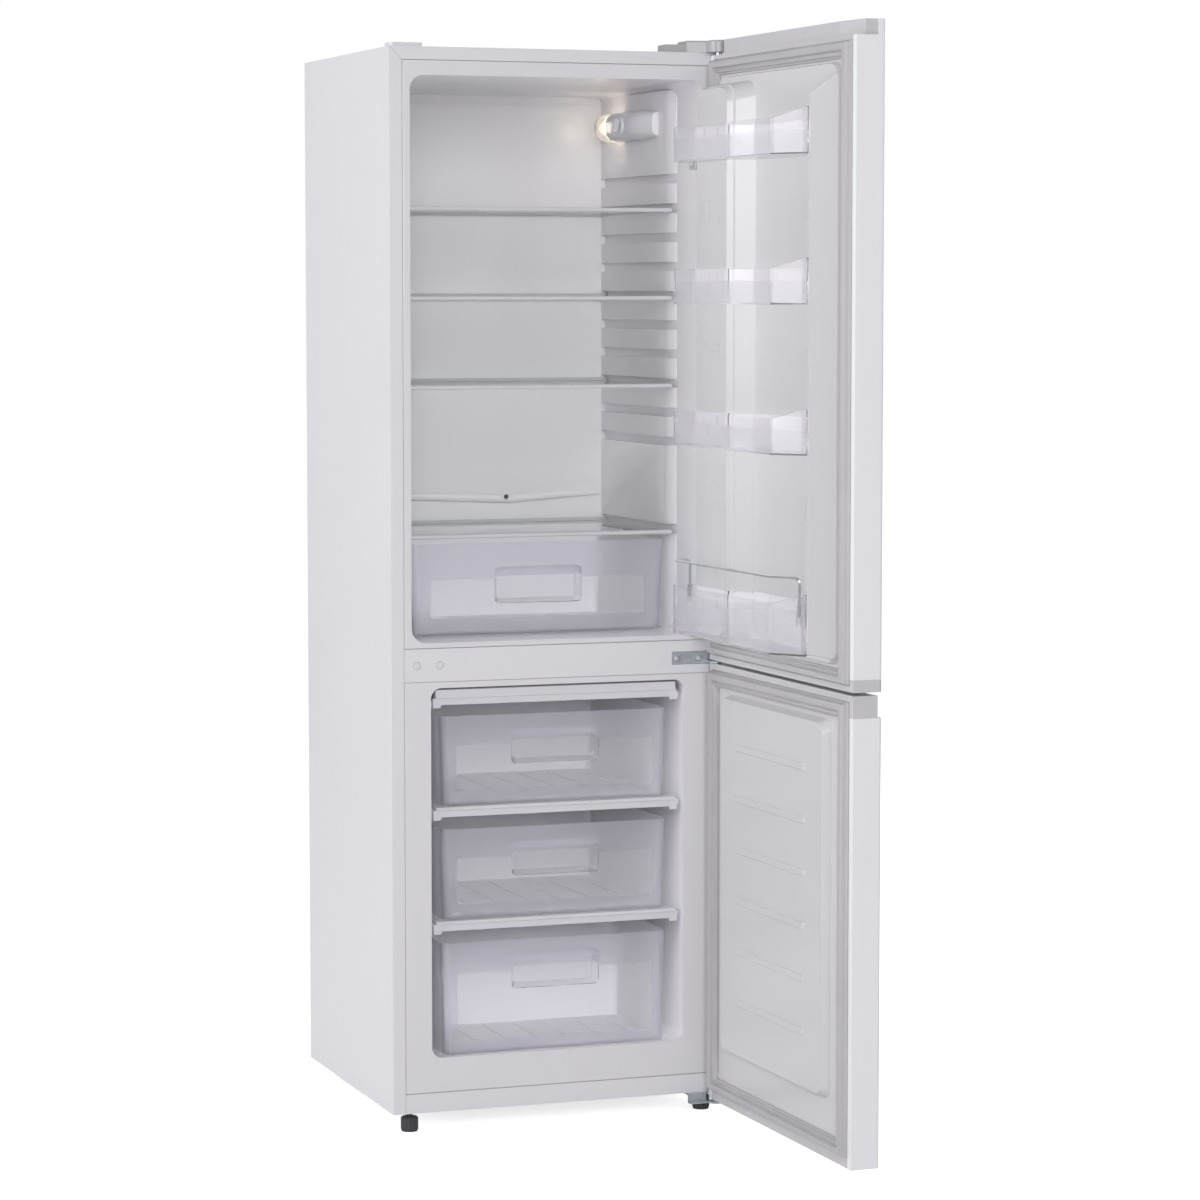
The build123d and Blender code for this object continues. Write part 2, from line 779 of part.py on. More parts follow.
def thermostat_housing():
    """The control unit's long body on the right wall, rounded towards the front."""
    wall = pad_face - seat_gap
    face = wall - stat_reach
    plan = [(wall, stat_front), (wall, stat_back), (face, stat_back),
            (face, stat_front + stat_slope), (wall - 10, stat_front)]
    body = prism_along_z(plan, stat_bottom, stat_bottom + stat_height)
    bend = body.edges().filter_by(Axis.Z).sort_by_distance(
        (face, stat_front + stat_slope, stat_middle))
    body = fillet(bend[0], 30)
    recess = Pos(face, knob_y, stat_middle) * Rot(0, 90, 0) * Cylinder(knob_radius + 1, 5)
    spindle = Pos(face, knob_y, stat_middle) * Rot(0, 90, 0) * Cylinder(3.6, 34)
    return body - recess - spindle


def thermostat_knob():
    face = pad_face - seat_gap - stat_reach
    along = Pos(face, knob_y, stat_middle) * Rot(0, 90, 0)
    disc = along * Pos(0, 0, -1.2) * Cylinder(knob_radius, 6)
    bar = block(face - 14, face - 4, knob_y - knob_radius + 2, knob_y + knob_radius - 2,
                stat_middle - 3.5, stat_middle + 3.5)
    bar = Pos(0, knob_y, stat_middle) * Rot(35, 0, 0) * Pos(0, -knob_y, -stat_middle) * bar
    spindle = along * Pos(0, 0, 8) * Cylinder(3.2, 16)
    return disc + bar + spindle


def lamp_cover():
    """The clear cover over the lamp, vented on its face, open towards the housing."""
    wall = pad_face - seat_gap
    face = wall - stat_reach
    plan = [(wall, stat_back + seat_gap), (wall, lens_back), (wall - 16, lens_back),
            (face, lens_back - 26), (face, stat_back + seat_gap)]
    shell = prism_along_z(plan, stat_bottom, stat_bottom + stat_height)
    shell = fillet(shell.edges().filter_by(Axis.Z).sort_by(Axis.X)[0:2], 10)
    t = lens_wall
    hollow = [(wall - t, stat_back), (wall - t, lens_back - t), (wall - 16, lens_back - t),
              (face + t, lens_back - 26 - t / 2), (face + t, stat_back)]
    shell -= prism_along_z(hollow, stat_bottom + t, stat_bottom + stat_height - t)
    for n in range(4):
        y = stat_back + 14 + n * 9
        shell -= block(face - 1, face + 4, y, y + 3.5, stat_middle - 14, stat_middle + 14)
    return shell


def lamp():
    """A small tubular bulb with its screw base."""
    centre = pad_face - stat_reach / 2
    base = Pos(centre, stat_back + 7, stat_middle) * Rot(90, 0, 0) * Cylinder(7, 14)
    glass = Pos(centre, stat_back + 14 + 19, stat_middle) * Rot(90, 0, 0) * Cylinder(11, 38)
    return base + glass


def door_switch_body():
    wall = fridge_half_width - switch_inset
    frame = block(wall - 2, wall + 2.5, switch_y - switch_length / 2, switch_y + switch_length / 2,
                  switch_z - switch_height / 2, switch_z + switch_height / 2)
    slot = block(wall - 3, wall + 2, switch_y - 9, switch_y + 9, switch_z - 4, switch_z + 4)
    return frame - slot


def door_switch_plunger():
    wall = fridge_half_width - switch_inset
    return block(wall - 5.5, wall - 1.5, switch_y - 8.6, switch_y + 8.6,
                 switch_z - 3.6, switch_z + 3.6)


# --- Shelves and drawers -------------------------------------------------------------------------
def shelf_glass(floor):
    low = floor + seat_gap + trim_seat
    half = shelf_half_width - glass_inset
    return block(-half, half, shelf_front + glass_inset, shelf_back - glass_inset,
                 low, low + glass_thickness)


def shelf_trims(floor):
    """The front edge strip and the raised rear lip that grip the glass."""
    low = floor + seat_gap
    glass_low = low + trim_seat
    glass_high = glass_low + glass_thickness
    front = shelf_front
    high = low + trim_height
    nose = [(front + trim_depth, low), (front + 2, low), (front, low + 2), (front, high - 2),
            (front + 1.5, high), (front + trim_depth, high), (front + trim_depth, glass_high),
            (front + glass_inset, glass_high), (front + glass_inset, glass_low),
            (front + trim_depth, glass_low)]
    back = shelf_back
    lip = [(back - trim_depth, low), (back, low), (back, low + rear_lip_height),
           (back - 5, low + rear_lip_height), (back - 8, high), (back - trim_depth, high),
           (back - trim_depth, glass_high), (back - glass_inset, glass_high),
           (back - glass_inset, glass_low),
           (back - trim_depth, glass_low)]
    ends = (-shelf_half_width, shelf_half_width)
    return [prism_along_x(nose, *ends), prism_along_x(lip, *ends)]


def hand_grip(front, low, high):
    """A finger recess pressed into a tray's front, and the solid that it is cut from."""
    half = grip_half_width
    wall = tray_wall
    outer = upright_loft((-half, half, low, high, front),
                         (-half + 6, half - 6, low + 6, high - 2, front + grip_depth), 8)
    half -= wall
    low += wall
    hollow = upright_loft((-half, half, low, high - wall, front - 0.5),
                          (-half + 6, half - 6, low + 6, high - 2 - wall,
                           front + grip_depth - wall), 7)
    hollow -= block(-half, half, front - 1, front + wall, high - grip_lip, high)
    return outer, hollow


def pull_out_tray(half_top, draft, front, back, floor, height, grip_top):
    """An open tray with drafted walls, floor ribs and a grip in its front."""
    wall = tray_wall
    half_low = half_top - draft
    back_low = back - draft
    body = lying_loft((-half_low, half_low, front, back_low, floor),
                      (-half_top, half_top, front, back, floor + height), tray_corner)
    space = lying_loft((-half_low + wall, half_low - wall, front + wall, back_low - wall,
                        floor + wall),
                       (-half_top + wall, half_top - wall, front + wall, back - wall,
                        floor + height), tray_corner - wall)
    grip, grip_hollow = hand_grip(front, grip_top - grip_height, grip_top)
    tray = body - (space - grip)
    rib_pitch = (half_low - wall) * 2 / rib_count
    for n in range(rib_count):
        x = -half_low + wall + rib_pitch * (n + 0.5)
        tray += block(x - rib_width / 2, x + rib_width / 2, front + wall + grip_depth + 8,
                      back_low - wall - 20, floor + wall - 0.1, floor + wall + rib_height)
    return tray - grip_hollow


def crisper():
    return pull_out_tray(crisper_half_width, crisper_side_draft, crisper_front, crisper_back,
                         crisper_floor, crisper_height,
                         crisper_floor + crisper_height - crisper_grip_drop)


def freezer_drawer(level):
    if level < 2:
        floor = evaporator_tops[level + 1] + seat_gap
        back = drawer_back
    else:
        floor = freezer_floor + seat_gap
        back = low_drawer_back
    height = level_heights[level] - drawer_headroom[level]
    return pull_out_tray(drawer_half_width, drawer_side_draft, drawer_front, back, floor,
                         height, floor + height - grip_below_rim)


# --- Compressor bay --------------------------------------------------------------------------------
def compressor_plate():
    """The carrier across the bay, with turned-down edges."""
    half = half_width - steel_sheet - seat_gap
    front = bay_front + 2
    back = cabinet_depth - plate_rear_gap
    plate = block(-half, half, front, back, plate_height, plate_height + plate_sheet)
    for y in (front, back - plate_sheet):
        plate += block(-half, half, y, y + plate_sheet, plate_height - plate_hem, plate_height)
    return plate


def mount_points():
    return [(compressor_x + sx * mount_spread_x, compressor_y + sy * mount_spread_y)
            for sx in (-1, 1) for sy in (-1, 1)]


def compressor_mounts():
    return [rod(x, y, compressor_foot - mount_height, compressor_foot, mount_radius)
            for x, y in mount_points()]


def compressor():
    """A welded steel pot on its foot plate."""
    base = block(compressor_x - mount_spread_x - 14, compressor_x + mount_spread_x + 14,
                 compressor_y - mount_spread_y - 12, compressor_y + mount_spread_y + 12,
                 compressor_foot, pot_bottom)
    base = fillet(base.edges().filter_by(Axis.Z), 10)
    r = pot_radius
    low = pot_bottom
    high = low + pot_height
    cut = pot_lid_round
    profile = Polyline((0, low), (r - cut, low), (r, low + cut), (r, high - cut),
                       (r - cut, high), (0, high), close=True)
    pot = revolve(Plane.XZ * make_face(profile), Axis.Z)
    return base + Pos(compressor_x, compressor_y, 0) * pot


def relay_box():
    """The starter's cover on the pot, with the gland where a supply cord would enter."""
    side = compressor_x - pot_radius
    left = side - relay_reach
    low = plate_height + relay_lift
    half = relay_width / 2
    box = block(left, side + 3, compressor_y - half, compressor_y + half,
                low, low + relay_height)
    box = fillet(box.edges().filter_by(Axis.X), 6)
    space = rod(compressor_x, compressor_y, low - 1, low + relay_height + 1,
                pot_radius + seat_gap)
    along = Pos(left - gland_length / 2, compressor_y, low + 18) * Rot(0, 90, 0)
    gland = along * Cylinder(gland_radius, gland_length)
    return box - space + gland - along * Cylinder(gland_bore, gland_length + 6)


def drip_tray():
    """The evaporating tray on the compressor's lid, wide enough to catch the drain."""
    low = drip_tray_bottom
    high = low + tray_depth
    left, right = compressor_x - tray_half_width, drain_x + drain_tube + tray_margin
    front, back = compressor_y - tray_half_width, drain_column + drain_tube + tray_margin
    t, flare = tray_sheet, tray_flare
    outer = lying_loft((left, right, front, back, low),
                       (left - flare, right + flare, front - flare, back + flare, high), 13)
    space = lying_loft((left + t, right - t, front + t, back - t, low + t),
                       (left + t - flare, right - t + flare, front + t - flare,
                        back - t + flare, high), 11)
    return outer - space


def drain_pipe():
    """From the hole in the rear wall down through the insulation to the tray."""
    bottom = drip_tray_bottom + tray_depth - 6
    mouth = fridge_depth + liner_wall + seat_gap
    reach = drain_column - mouth
    branch = Pos(drain_x, mouth + reach / 2, drain_z) * Rot(90, 0, 0)
    outer = rod(drain_x, drain_column, bottom, drain_z + drain_tube, drain_tube)
    outer += branch * Cylinder(drain_tube - 1, reach)
    bore = rod(drain_x, drain_column, bottom - 1, drain_z + drain_tube - drain_tube_wall,
               drain_tube - drain_tube_wall)
    return outer - bore - branch * Cylinder(drain_radius, reach + 2)


def refrigerant_pipes():
    """Suction and discharge lines with the drier in the way to the capillary."""
    low = pot_bottom
    wall = bay_front
    right = compressor_x + pot_radius
    suction = bent_line([(right + 2, compressor_y + 20, low + 60),
                         (right + 40, compressor_y + 20, low + 60),
                         (right + 40, compressor_y - 60, low + 60),
                         (right + 40, compressor_y - 60, low + 138),
                         (right + 40, wall, low + 138)], 4, 10)
    discharge = bent_line([(right + 2, compressor_y - 20, low + 30),
                           (right + 70, compressor_y - 20, low + 30),
                           (right + 70, compressor_y - 20, low + 120),
                           (right + 70, wall, low + 120)], 3, 10)
    drier = Pos(right + 96, compressor_y - 10, low + 60) * Cylinder(9, 90)
    drier += bent_line([(right + 96, compressor_y - 10, low + 104),
                        (right + 96, compressor_y - 10, low + 140),
                        (right + 96, wall, low + 140)], 2.5, 8)
    drier += rod(right + 96, compressor_y - 10, low + 4, low + 16, 2.5)
    return [suction, discharge, drier]


def rear_feet():
    """Two moulded glides under the compressor carrier."""
    feet = []
    for side in (-1, 1):
        x = side * rear_foot_x
        low, high = rear_foot_half, rear_foot_half + 5
        feet.append(lying_loft((x - low, x + low, rear_foot_y - low, rear_foot_y + low, 0),
                               (x - high, x + high, rear_foot_y - high, rear_foot_y + high,
                                plate_height - seat_gap), 6))
    return feet


def front_foot(side):
    """A fluted levelling knob on its threaded stud."""
    points = []
    for n in range(foot_flutes):
        for turn, radius in ((0.0, foot_top_radius), (0.55, foot_top_radius),
                             (0.775, foot_top_radius - 1.3)):
            angle = radians(360 / foot_flutes * (n + turn))
            points.append((radius * cos(angle), radius * sin(angle)))
    rim = foot_height - 2
    knob = prism_along_z(points, 3, rim)
    knob += prism_along_z([(0.92 * x, 0.92 * y) for x, y in points], 0, 3)
    knob += prism_along_z([(0.88 * x, 0.88 * y) for x, y in points], rim, foot_height)
    stud = rod(0, 0, foot_height - 0.5, stud_top, foot_stud_radius)
    return Pos(side * foot_x, foot_y, 0) * (knob + stud)


# --- Hinges --------------------------------------------------------------------------------------
def hinge_arm(x0, x1, back, z0, z1):
    """A flat plate that narrows to a round end about the hinge axis."""
    neck = back - hinge_plate_depth
    points = [(x0, back), (x1, back), (x1, neck), (hinge_x + hinge_arm_radius, neck),
              (hinge_x + hinge_arm_radius, hinge_y), (hinge_x - hinge_arm_radius, hinge_y),
              (hinge_x - hinge_arm_radius, neck), (x0, neck)]
    return prism_along_z(points, z0, z1) + rod(hinge_x, hinge_y, z0, z1, hinge_arm_radius)


def top_hinge():
    low = cabinet_top
    plate = hinge_arm(hinge_x - hinge_plate_reach, half_width - 4, hinge_plate_back,
                      low, low + hinge_plate)
    pin = rod(hinge_x, hinge_y, upper_door_deck - pin_reach - 5, low + 1, hinge_pin_radius)
    plate = plate + pin
    for x, y in top_screws:
        plate -= rod(x, y, low - 1, low + 4, screw_radius + pin_clearance)
    return plate


def top_hinge_cover():
    """A moulded hood over the upper hinge, higher on its outer part than on its inner."""
    wall = hood_wall
    low = cabinet_top
    right = half_width - seam_gap
    nose = hinge_arm_radius + wall + 2
    outer = [(hinge_x - 48, 50), (right, 50), (right, 0), (hinge_x + nose, -6),
             (hinge_x + nose, hinge_y), (hinge_x - nose, hinge_y), (hinge_x - nose, -4),
             (hinge_x - 48, 4)]
    hood = prism_along_z(outer, low, hood_top)
    hood += rod(hinge_x, hinge_y, low, hood_top, nose)
    hood += block(hinge_x - 85, hinge_x - 40, 6, 46, low, hood_top - hood_step)
    top_edges = hood.edges().group_by(Axis.Z)[-1]
    hood = chamfer(top_edges, hood_chamfer)
    inner = [(hinge_x - 48 + wall, 50 - wall), (right - wall, 50 - wall), (right - wall, 0),
             (hinge_x + nose - wall, -6), (hinge_x + nose - wall, hinge_y),
             (hinge_x - nose + wall, hinge_y), (hinge_x - nose + wall, -4),
             (hinge_x - 48 + wall, 4 + wall)]
    space = prism_along_z(inner, low - 1, hood_top - 2 * wall)
    space += rod(hinge_x, hinge_y, low - 1, hood_top - 2 * wall, nose - wall)
    space += block(hinge_x - 85 + wall, hinge_x - 40, 6 + wall, 46 - wall, low - 1,
                   hood_top - hood_step - wall)
    return hood - space


def mid_hinge():
    """The plate let into the rail, with the arm between the doors and a pin each way."""
    plate_top_z = mid_plate_bottom + mid_plate_height
    plate = block(mid_plate_left, mid_plate_right, 0, hinge_plate, mid_plate_bottom, plate_top_z)
    arm_low = (lower_cap_top + upper_door_bottom - hinge_plate) / 2
    arm = block(hinge_x - hinge_arm_radius, mid_plate_right, hinge_y, hinge_plate,
                arm_low, arm_low + hinge_plate)
    arm += rod(hinge_x, hinge_y, arm_low, arm_low + hinge_plate, hinge_arm_radius)
    arm += rod(hinge_x, hinge_y, arm_low - pin_reach, arm_low + hinge_plate + pin_reach,
               hinge_pin_radius)
    plate = plate + arm
    for x in mid_screws:
        sink = Pos(x, 0, mid_screw_z) * Rot(90, 0, 0)
        plate -= sink * Cylinder(screw_radius + pin_clearance, 12)
        plate -= sink * Cylinder(2 * screw_radius + pin_clearance, 4)
    return plate


def bottom_hinge():
    """A cranked bracket under the cabinet; its pin stands up into the lower door."""
    sheet = bracket_sheet
    high = cabinet_bottom
    arm_height = lower_door_bottom - bracket_gap - sheet
    crank = foot_y - foot_top_radius - foot_crank_gap
    left = hinge_x - bracket_reach
    inner = hinge_x - hinge_arm_radius - 1
    plate = block(left, half_width - 2, 1, 60, high - sheet, high)
    plate += block(left, inner, crank - sheet, 1, high - sheet, high)
    plate += block(left, inner, crank - sheet, crank, arm_height, high)
    arm = block(left, hinge_x + hinge_arm_radius, hinge_y, crank, arm_height,
                arm_height + sheet)
    arm += rod(hinge_x, hinge_y, arm_height, arm_height + sheet, hinge_arm_radius)
    arm += rod(hinge_x, hinge_y, arm_height, lower_door_bottom + pin_reach, hinge_pin_radius)
    bracket = plate + arm
    return bracket - rod(foot_x, foot_y, high - 5, high + 1, foot_stud_radius + pin_clearance)


def screw():
    """A flat-headed screw, its head up and its tip down."""
    head = Pos(0, 0, -1.1) * Cylinder(2 * screw_radius, 1.4)
    return head + Pos(0, 0, -1.6 - screw_length / 2) * Cylinder(screw_radius, screw_length)


def hinge_screws():
    screws = []
    for x, y in top_screws:
        screws.append(Pos(x, y, cabinet_top + hinge_plate + 1.8) * screw())
    for x in mid_screws:
        screws.append(Pos(x, 0, mid_screw_z) * Rot(90, 0, 0) * screw())
    return screws


# --- Door construction -----------------------------------------------------------------------------
def door_block(s0, s1, r0, r1, z0, z1):
    """A box on the door: s from the hinge end, r inwards from the door's inner face."""
    return block(half_width - s1, half_width - s0, inner_face + r0, inner_face + r1, z0, z1)


def door_loft(low, high, radius, shrink=0.0):
    """A raised field between two rectangles (s0, s1, z0, z1, reach)."""
    near, far = [(half_width - s1 + shrink, half_width - s0 - shrink, z0 + shrink, z1 - shrink,
                  inner_face + reach - shrink) for s0, s1, z0, z1, reach in (low, high)]
    return upright_loft(near, far, radius - shrink / 2)


def door_slab(inset, z0, z1):
    """The door's body, its two outer upright edges rounded."""
    half = half_width - inset
    slab = block(-half, half, inner_face - door_thickness + inset, inner_face - inset, z0, z1)
    outer_edges = slab.edges().filter_by(Axis.Z).group_by(Axis.Y)[0]
    return fillet(outer_edges, skin_corner - inset)


def door_skin(z0, z1):
    """The folded steel sheet: front, both ends and a short return on the inner side."""
    shell = door_slab(0, z0, z1) - door_slab(steel_sheet, z0 - 1, z1 + 1)
    edge = gasket_inset - seam_gap
    return shell - door_block(edge, cabinet_width - edge, -steel_sheet - 1, 1, z0 - 1, z1 + 1)


def pin_socket(z0, z1):
    return rod(hinge_x, hinge_y, z0, z1, hinge_pin_radius + pin_clearance)


def gasket(z0, z1):
    """The magnetic seal's frame, narrower towards the cabinet."""
    end = cabinet_width - gasket_inset
    taper = gasket_taper
    reach = gasket_gap - gasket_rest
    outer = door_loft((gasket_inset, end, z0, z1, 0),
                      (gasket_inset + taper, end - taper, z0 + taper, z1 - taper, reach), 5)
    start = gasket_inset + gasket_width
    low, high = z0 + gasket_foot, z1 - gasket_head
    inner = door_loft((start, cabinet_width - start, low, high, -1),
                      (start - 2, cabinet_width - start + 2, low - 2, high + 2, reach + 1), 8)
    return outer - inner


# --- Upper door --------------------------------------------------------------------------------------
def upper_skin():
    low = upper_door_bottom + door_cap_height
    front = door_slab(0, upper_door_deck, door_top)
    front -= door_slab(steel_sheet, upper_door_deck - 1, door_top + 1)
    front -= door_block(-1, cabinet_width + 1, -lip_depth, 1, upper_door_deck - 1, door_top + 1)
    return door_skin(low, upper_door_deck) + front


def upper_top_cap():
    """The moulded top: a deck round the hinge and a block raised to the height of the lip."""
    deck = upper_door_deck
    cap = door_slab(steel_sheet, deck - door_cap_height, deck)
    cap -= door_block(gasket_inset - 1, cabinet_width - gasket_inset + 1,
                      -door_liner_wall - 0.5, 1, deck - door_cap_height - 1, upper_seal[1] + 0.5)
    lip = door_slab(steel_sheet, deck, door_top)
    lip -= door_block(-1, cabinet_width + 1, -lip_depth, 1, deck - 1, door_top + 1)
    corner_s = cabinet_width - raised_corner_inset
    end = cabinet_width - 5
    plan = [(raised_start, -8), (corner_s, -8), (end, -18), (end, -lip_depth - 1),
            (raised_start, -lip_depth - 1)]
    raised = prism_along_z([(half_width - s, inner_face + r) for s, r in plan], deck, door_top)
    corner = raised.edges().filter_by(Axis.Z).sort_by_distance(
        (half_width - corner_s, inner_face - 8, deck + lip_rise / 2))
    raised = fillet(corner[0], raised_corner_round)
    return cap + lip + raised - pin_socket(deck - pin_reach - 6, deck + 1)


def upper_bottom_cap():
    """The moulded foot of the upper door, with the finger groove along its underside."""
    low = upper_door_bottom
    high = low + door_cap_height
    cap = door_slab(0, low, high)
    cap -= door_block(gasket_inset - 1, cabinet_width - gasket_inset + 1,
                      -door_liner_wall - 0.5, 1, upper_seal[0] - 0.5, high + 1)
    groove = door_block(groove_start, cabinet_width - groove_end_inset, -groove_far,
                        -groove_near, low - 1, low + groove_height)
    groove = fillet(groove.edges().filter_by(Axis.X).group_by(Axis.Z)[-1], 6)
    return cap - groove - pin_socket(low - 1, low + pin_reach)


def upper_fields(shrink):
    """The raised fields of the upper door's liner: plateau, wide dike and narrow dike."""
    inset = plateau_inset
    end = cabinet_width - inset
    low, high = fridge_floor - plateau_drop, fridge_ceiling + plateau_rise
    fields = door_loft((inset, end, low, high, -1),
                       (inset + 3, end - 3, low + 3, high - 3, plateau_height), 28, shrink)
    shoulder = dike_height - dike_step
    start = hinge_dike_start
    foot = hinge_dike_foot
    fields += door_loft((start - 6, foot, dike_bottom - 8, dike_top + 12, plateau_height - 2),
                        (start - 2, foot - 14, dike_bottom - 2, dike_top + 4, shoulder),
                        32, shrink)
    fields += door_loft((start - 1.5, hinge_dike_end + 4, dike_bottom - 1.5, dike_top + 3,
                         shoulder - 2),
                        (start, hinge_dike_end, dike_bottom, dike_top, dike_height), 30, shrink)
    fields += door_loft((free_dike_start - 4, free_dike_foot - 4, dike_bottom - 8,
                         free_dike_top + 33, plateau_height - 2),
                        (free_dike_start, free_dike_end, dike_bottom, free_dike_top,
                         dike_height), 4, shrink)
    return fields


def pocket_heights():
    """The lower edges of all the pockets that the bins hook into."""
    return [pocket_first - pocket_pitch * n for n in range(pocket_rows)] + [bottle_pocket]


def upper_liner():
    plate = door_block(gasket_inset, cabinet_width - gasket_inset, -door_liner_wall, 0,
                       *upper_seal)
    liner = plate + upper_fields(0) - upper_fields(door_liner_wall)
    for low in pocket_heights():
        for s0, s1 in pocket_spans:
            liner -= door_block(s0, s1, dike_height - pocket_depth, dike_height + 1,
                                low, low + pocket_height)
    return liner


def upper_foam():
    low = upper_door_bottom + door_cap_height
    high = upper_door_deck - door_cap_height
    core = door_slab(steel_sheet, low, high)
    core -= door_block(-1, cabinet_width + 1, -door_liner_wall, 1, low - 1, high + 1)
    return core + upper_fields(door_liner_wall)


# --- Bins of the upper door --------------------------------------------------------------------------
def bin_face(inset):
    """The T-shaped plan of a bin: narrow between the dikes, wide in front of them."""
    front = dike_height + bin_gap
    points = [(bin_start, front), (bin_start, bin_front), (bin_corner, bin_front),
              (bin_end - 1, front + 4), (bin_end - 1, front), (free_dike_start - 11, front),
              (free_dike_start - 11, plateau_height + 2), (hinge_dike_foot + 4, plateau_height + 2),
              (hinge_dike_end + 16, front)]
    points = [(half_width - s, inner_face + r) for s, r in points]
    plan = make_face(Polyline(*points, close=True))
    plan = fillet(plan.vertices().sort_by_distance(points[1])[0], bin_corner_radius)
    plan = fillet(plan.vertices().sort_by_distance(points[2])[0], bin_end_radius)
    if inset:
        plan = offset(plan, -inset, kind=Kind.INTERSECTION)
    return plan


def bin_box(floor, height):
    """An open bin whose rim rises towards the door's free end, with hooks on its back."""
    body = extrude(Pos(0, 0, floor) * bin_face(0), height + bin_rise)
    space = extrude(Pos(0, 0, floor + bin_wall) * bin_face(bin_wall), height + bin_rise)
    top = floor + height
    side = Plane(origin=(0, inner_face, 0), x_dir=(1, 0, 0), z_dir=(0, -1, 0))
    rim = [(half_width, top), (half_width - bin_corner, top), (half_width - bin_end, top + bin_rise),
           (half_width - bin_end - 10, top + bin_rise), (half_width - bin_end - 10, top + 99),
           (half_width, top + 99)]
    over = extrude(side * make_face(Polyline(*rim, close=True)), -bin_front - 10)
    return body - space - over


def bin_hooks(low):
    """The hooks that stand in the liner's pockets."""
    hooks = []
    for s0, s1 in pocket_spans[:2]:
        hooks.append((s0 + 1, s1 - 1))
    hooks.append((pocket_spans[2][0] + 0.6, bin_end - 2.5))
    parts = [door_block(s0, s1, dike_height - pocket_depth + bin_gap, dike_height + bin_gap + 1,
                        low + seat_gap, low + hook_height) for s0, s1 in hooks]
    return parts


def door_bin(level):
    box = bin_box(bin_pockets[level] - bin_drops[level], bin_height)
    for hook in bin_hooks(bin_pockets[level]):
        box += hook
    return box


def bottle_bin():
    box = bin_box(bottle_floor, bottle_height)
    for hook in bin_hooks(bottle_pocket):
        box += hook
    for x, y, _ in (rail_path()[0], rail_path()[-1]):
        box += rod(x, y, bottle_rim - 34, bottle_rim, rail_wire)
        box -= rod(x, y, bottle_rim - 30, bottle_rim + 1, rail_wire / 2 + 0.1)
    return box


def rail_path():
    """The rail from its socket at the hinge end round the front to the other socket."""
    low = bottle_rim - 20
    back = inner_face + dike_height + bin_gap + bin_wall + 5
    front = inner_face + bin_front - bin_wall - 1
    left = half_width - bin_start - bin_wall - 3.5
    right = half_width - bin_end + 16
    near = back - 1.3
    return [(left, back, low), (left, back, rail_height), (left, front, rail_height),
            (half_width - bin_corner + 4, front, rail_height), (right, near, rail_height),
            (right, near, low)]


def bottle_rail():
    return tube_along(rail_path(), rail_wire / 2, rail_bend, 10)


# --- Lower door --------------------------------------------------------------------------------------
def lower_skin():
    return door_skin(lower_door_bottom, lower_panel_top)


def lower_grip_cap():
    """The moulded top of the lower door, with a scoop for the fingers along its front."""
    plug = door_slab(steel_sheet, lower_panel_top - 10, lower_panel_top)
    plug -= door_block(-1, cabinet_width + 1, -door_liner_wall - 0.5, 1,
                       lower_panel_top - 11, lower_panel_top + 1)
    cap = door_block(0, cabinet_width, -grip_cap_depth, -door_liner_wall - 0.5,
                     lower_panel_top, lower_cap_top)
    cap += door_block(0, cabinet_width, -door_liner_wall - 0.6, 0,
                      lower_seal[1] + 0.5, lower_cap_top)
    for s0, s1 in ((0, gasket_inset - 0.5), (cabinet_width - gasket_inset + 0.5, cabinet_width)):
        cap += door_block(s0, s1, -door_liner_wall - 0.6, 0, lower_panel_top, lower_cap_top)
    along = Pos(0, inner_face - grip_cap_depth - scoop_inset, lower_panel_top + scoop_rise)
    scoop = along * Rot(0, 90, 0) * Cylinder(scoop_radius, cabinet_width - 2 * scoop_radius)
    cap = cap - scoop
    for reach in (-33, -26):
        cap -= door_block(60, cabinet_width - 12, reach - 1.2, reach + 1.2,
                          lower_cap_top - 1.2, lower_cap_top + 1)
    return plug + cap - pin_socket(lower_cap_top - pin_reach - 1, lower_cap_top + 1)


def lower_bottom_cap():
    low = lower_door_bottom
    cap = door_slab(steel_sheet, low, low + door_cap_height)
    cap -= door_block(gasket_inset - 1, cabinet_width - gasket_inset + 1,
                      -door_liner_wall - 0.5, 1, lower_seal[0] - 0.5, low + door_cap_height + 1)
    return cap - pin_socket(low - 1, low + pin_reach + 1)


def lower_fields(shrink):
    """The lower door's raised panel."""
    draft = panel_draft
    return door_loft((panel_start, panel_end, panel_bottom, panel_top, -1),
                     (panel_start + draft, panel_end - draft, panel_bottom + draft,
                      panel_top - draft, panel_height), 22, shrink)


def pressed_ribs():
    """The ribs that stiffen the panel, one above the other."""
    ribs = []
    for n in range(emboss_count):
        low = emboss_first - emboss_pitch * n
        high = low + emboss_height
        ribs.append(door_loft((emboss_start, emboss_end, low, high, panel_height - 1),
                              (emboss_start + 2, emboss_end - 2, low + 2, high - 2,
                               panel_height + emboss_rise), 3.4))
    return ribs


def lower_liner():
    plate = door_block(gasket_inset, cabinet_width - gasket_inset, -door_liner_wall, 0,
                       *lower_seal)
    liner = plate + lower_fields(0) - lower_fields(door_liner_wall)
    for rib in pressed_ribs():
        liner += rib
    return liner


def lower_foam():
    low = lower_door_bottom + door_cap_height
    high = lower_panel_top - 10
    core = door_slab(steel_sheet, low, high)
    core -= door_block(-1, cabinet_width + 1, -door_liner_wall, 1, low - 1, high + 1)
    return core + lower_fields(door_liner_wall)


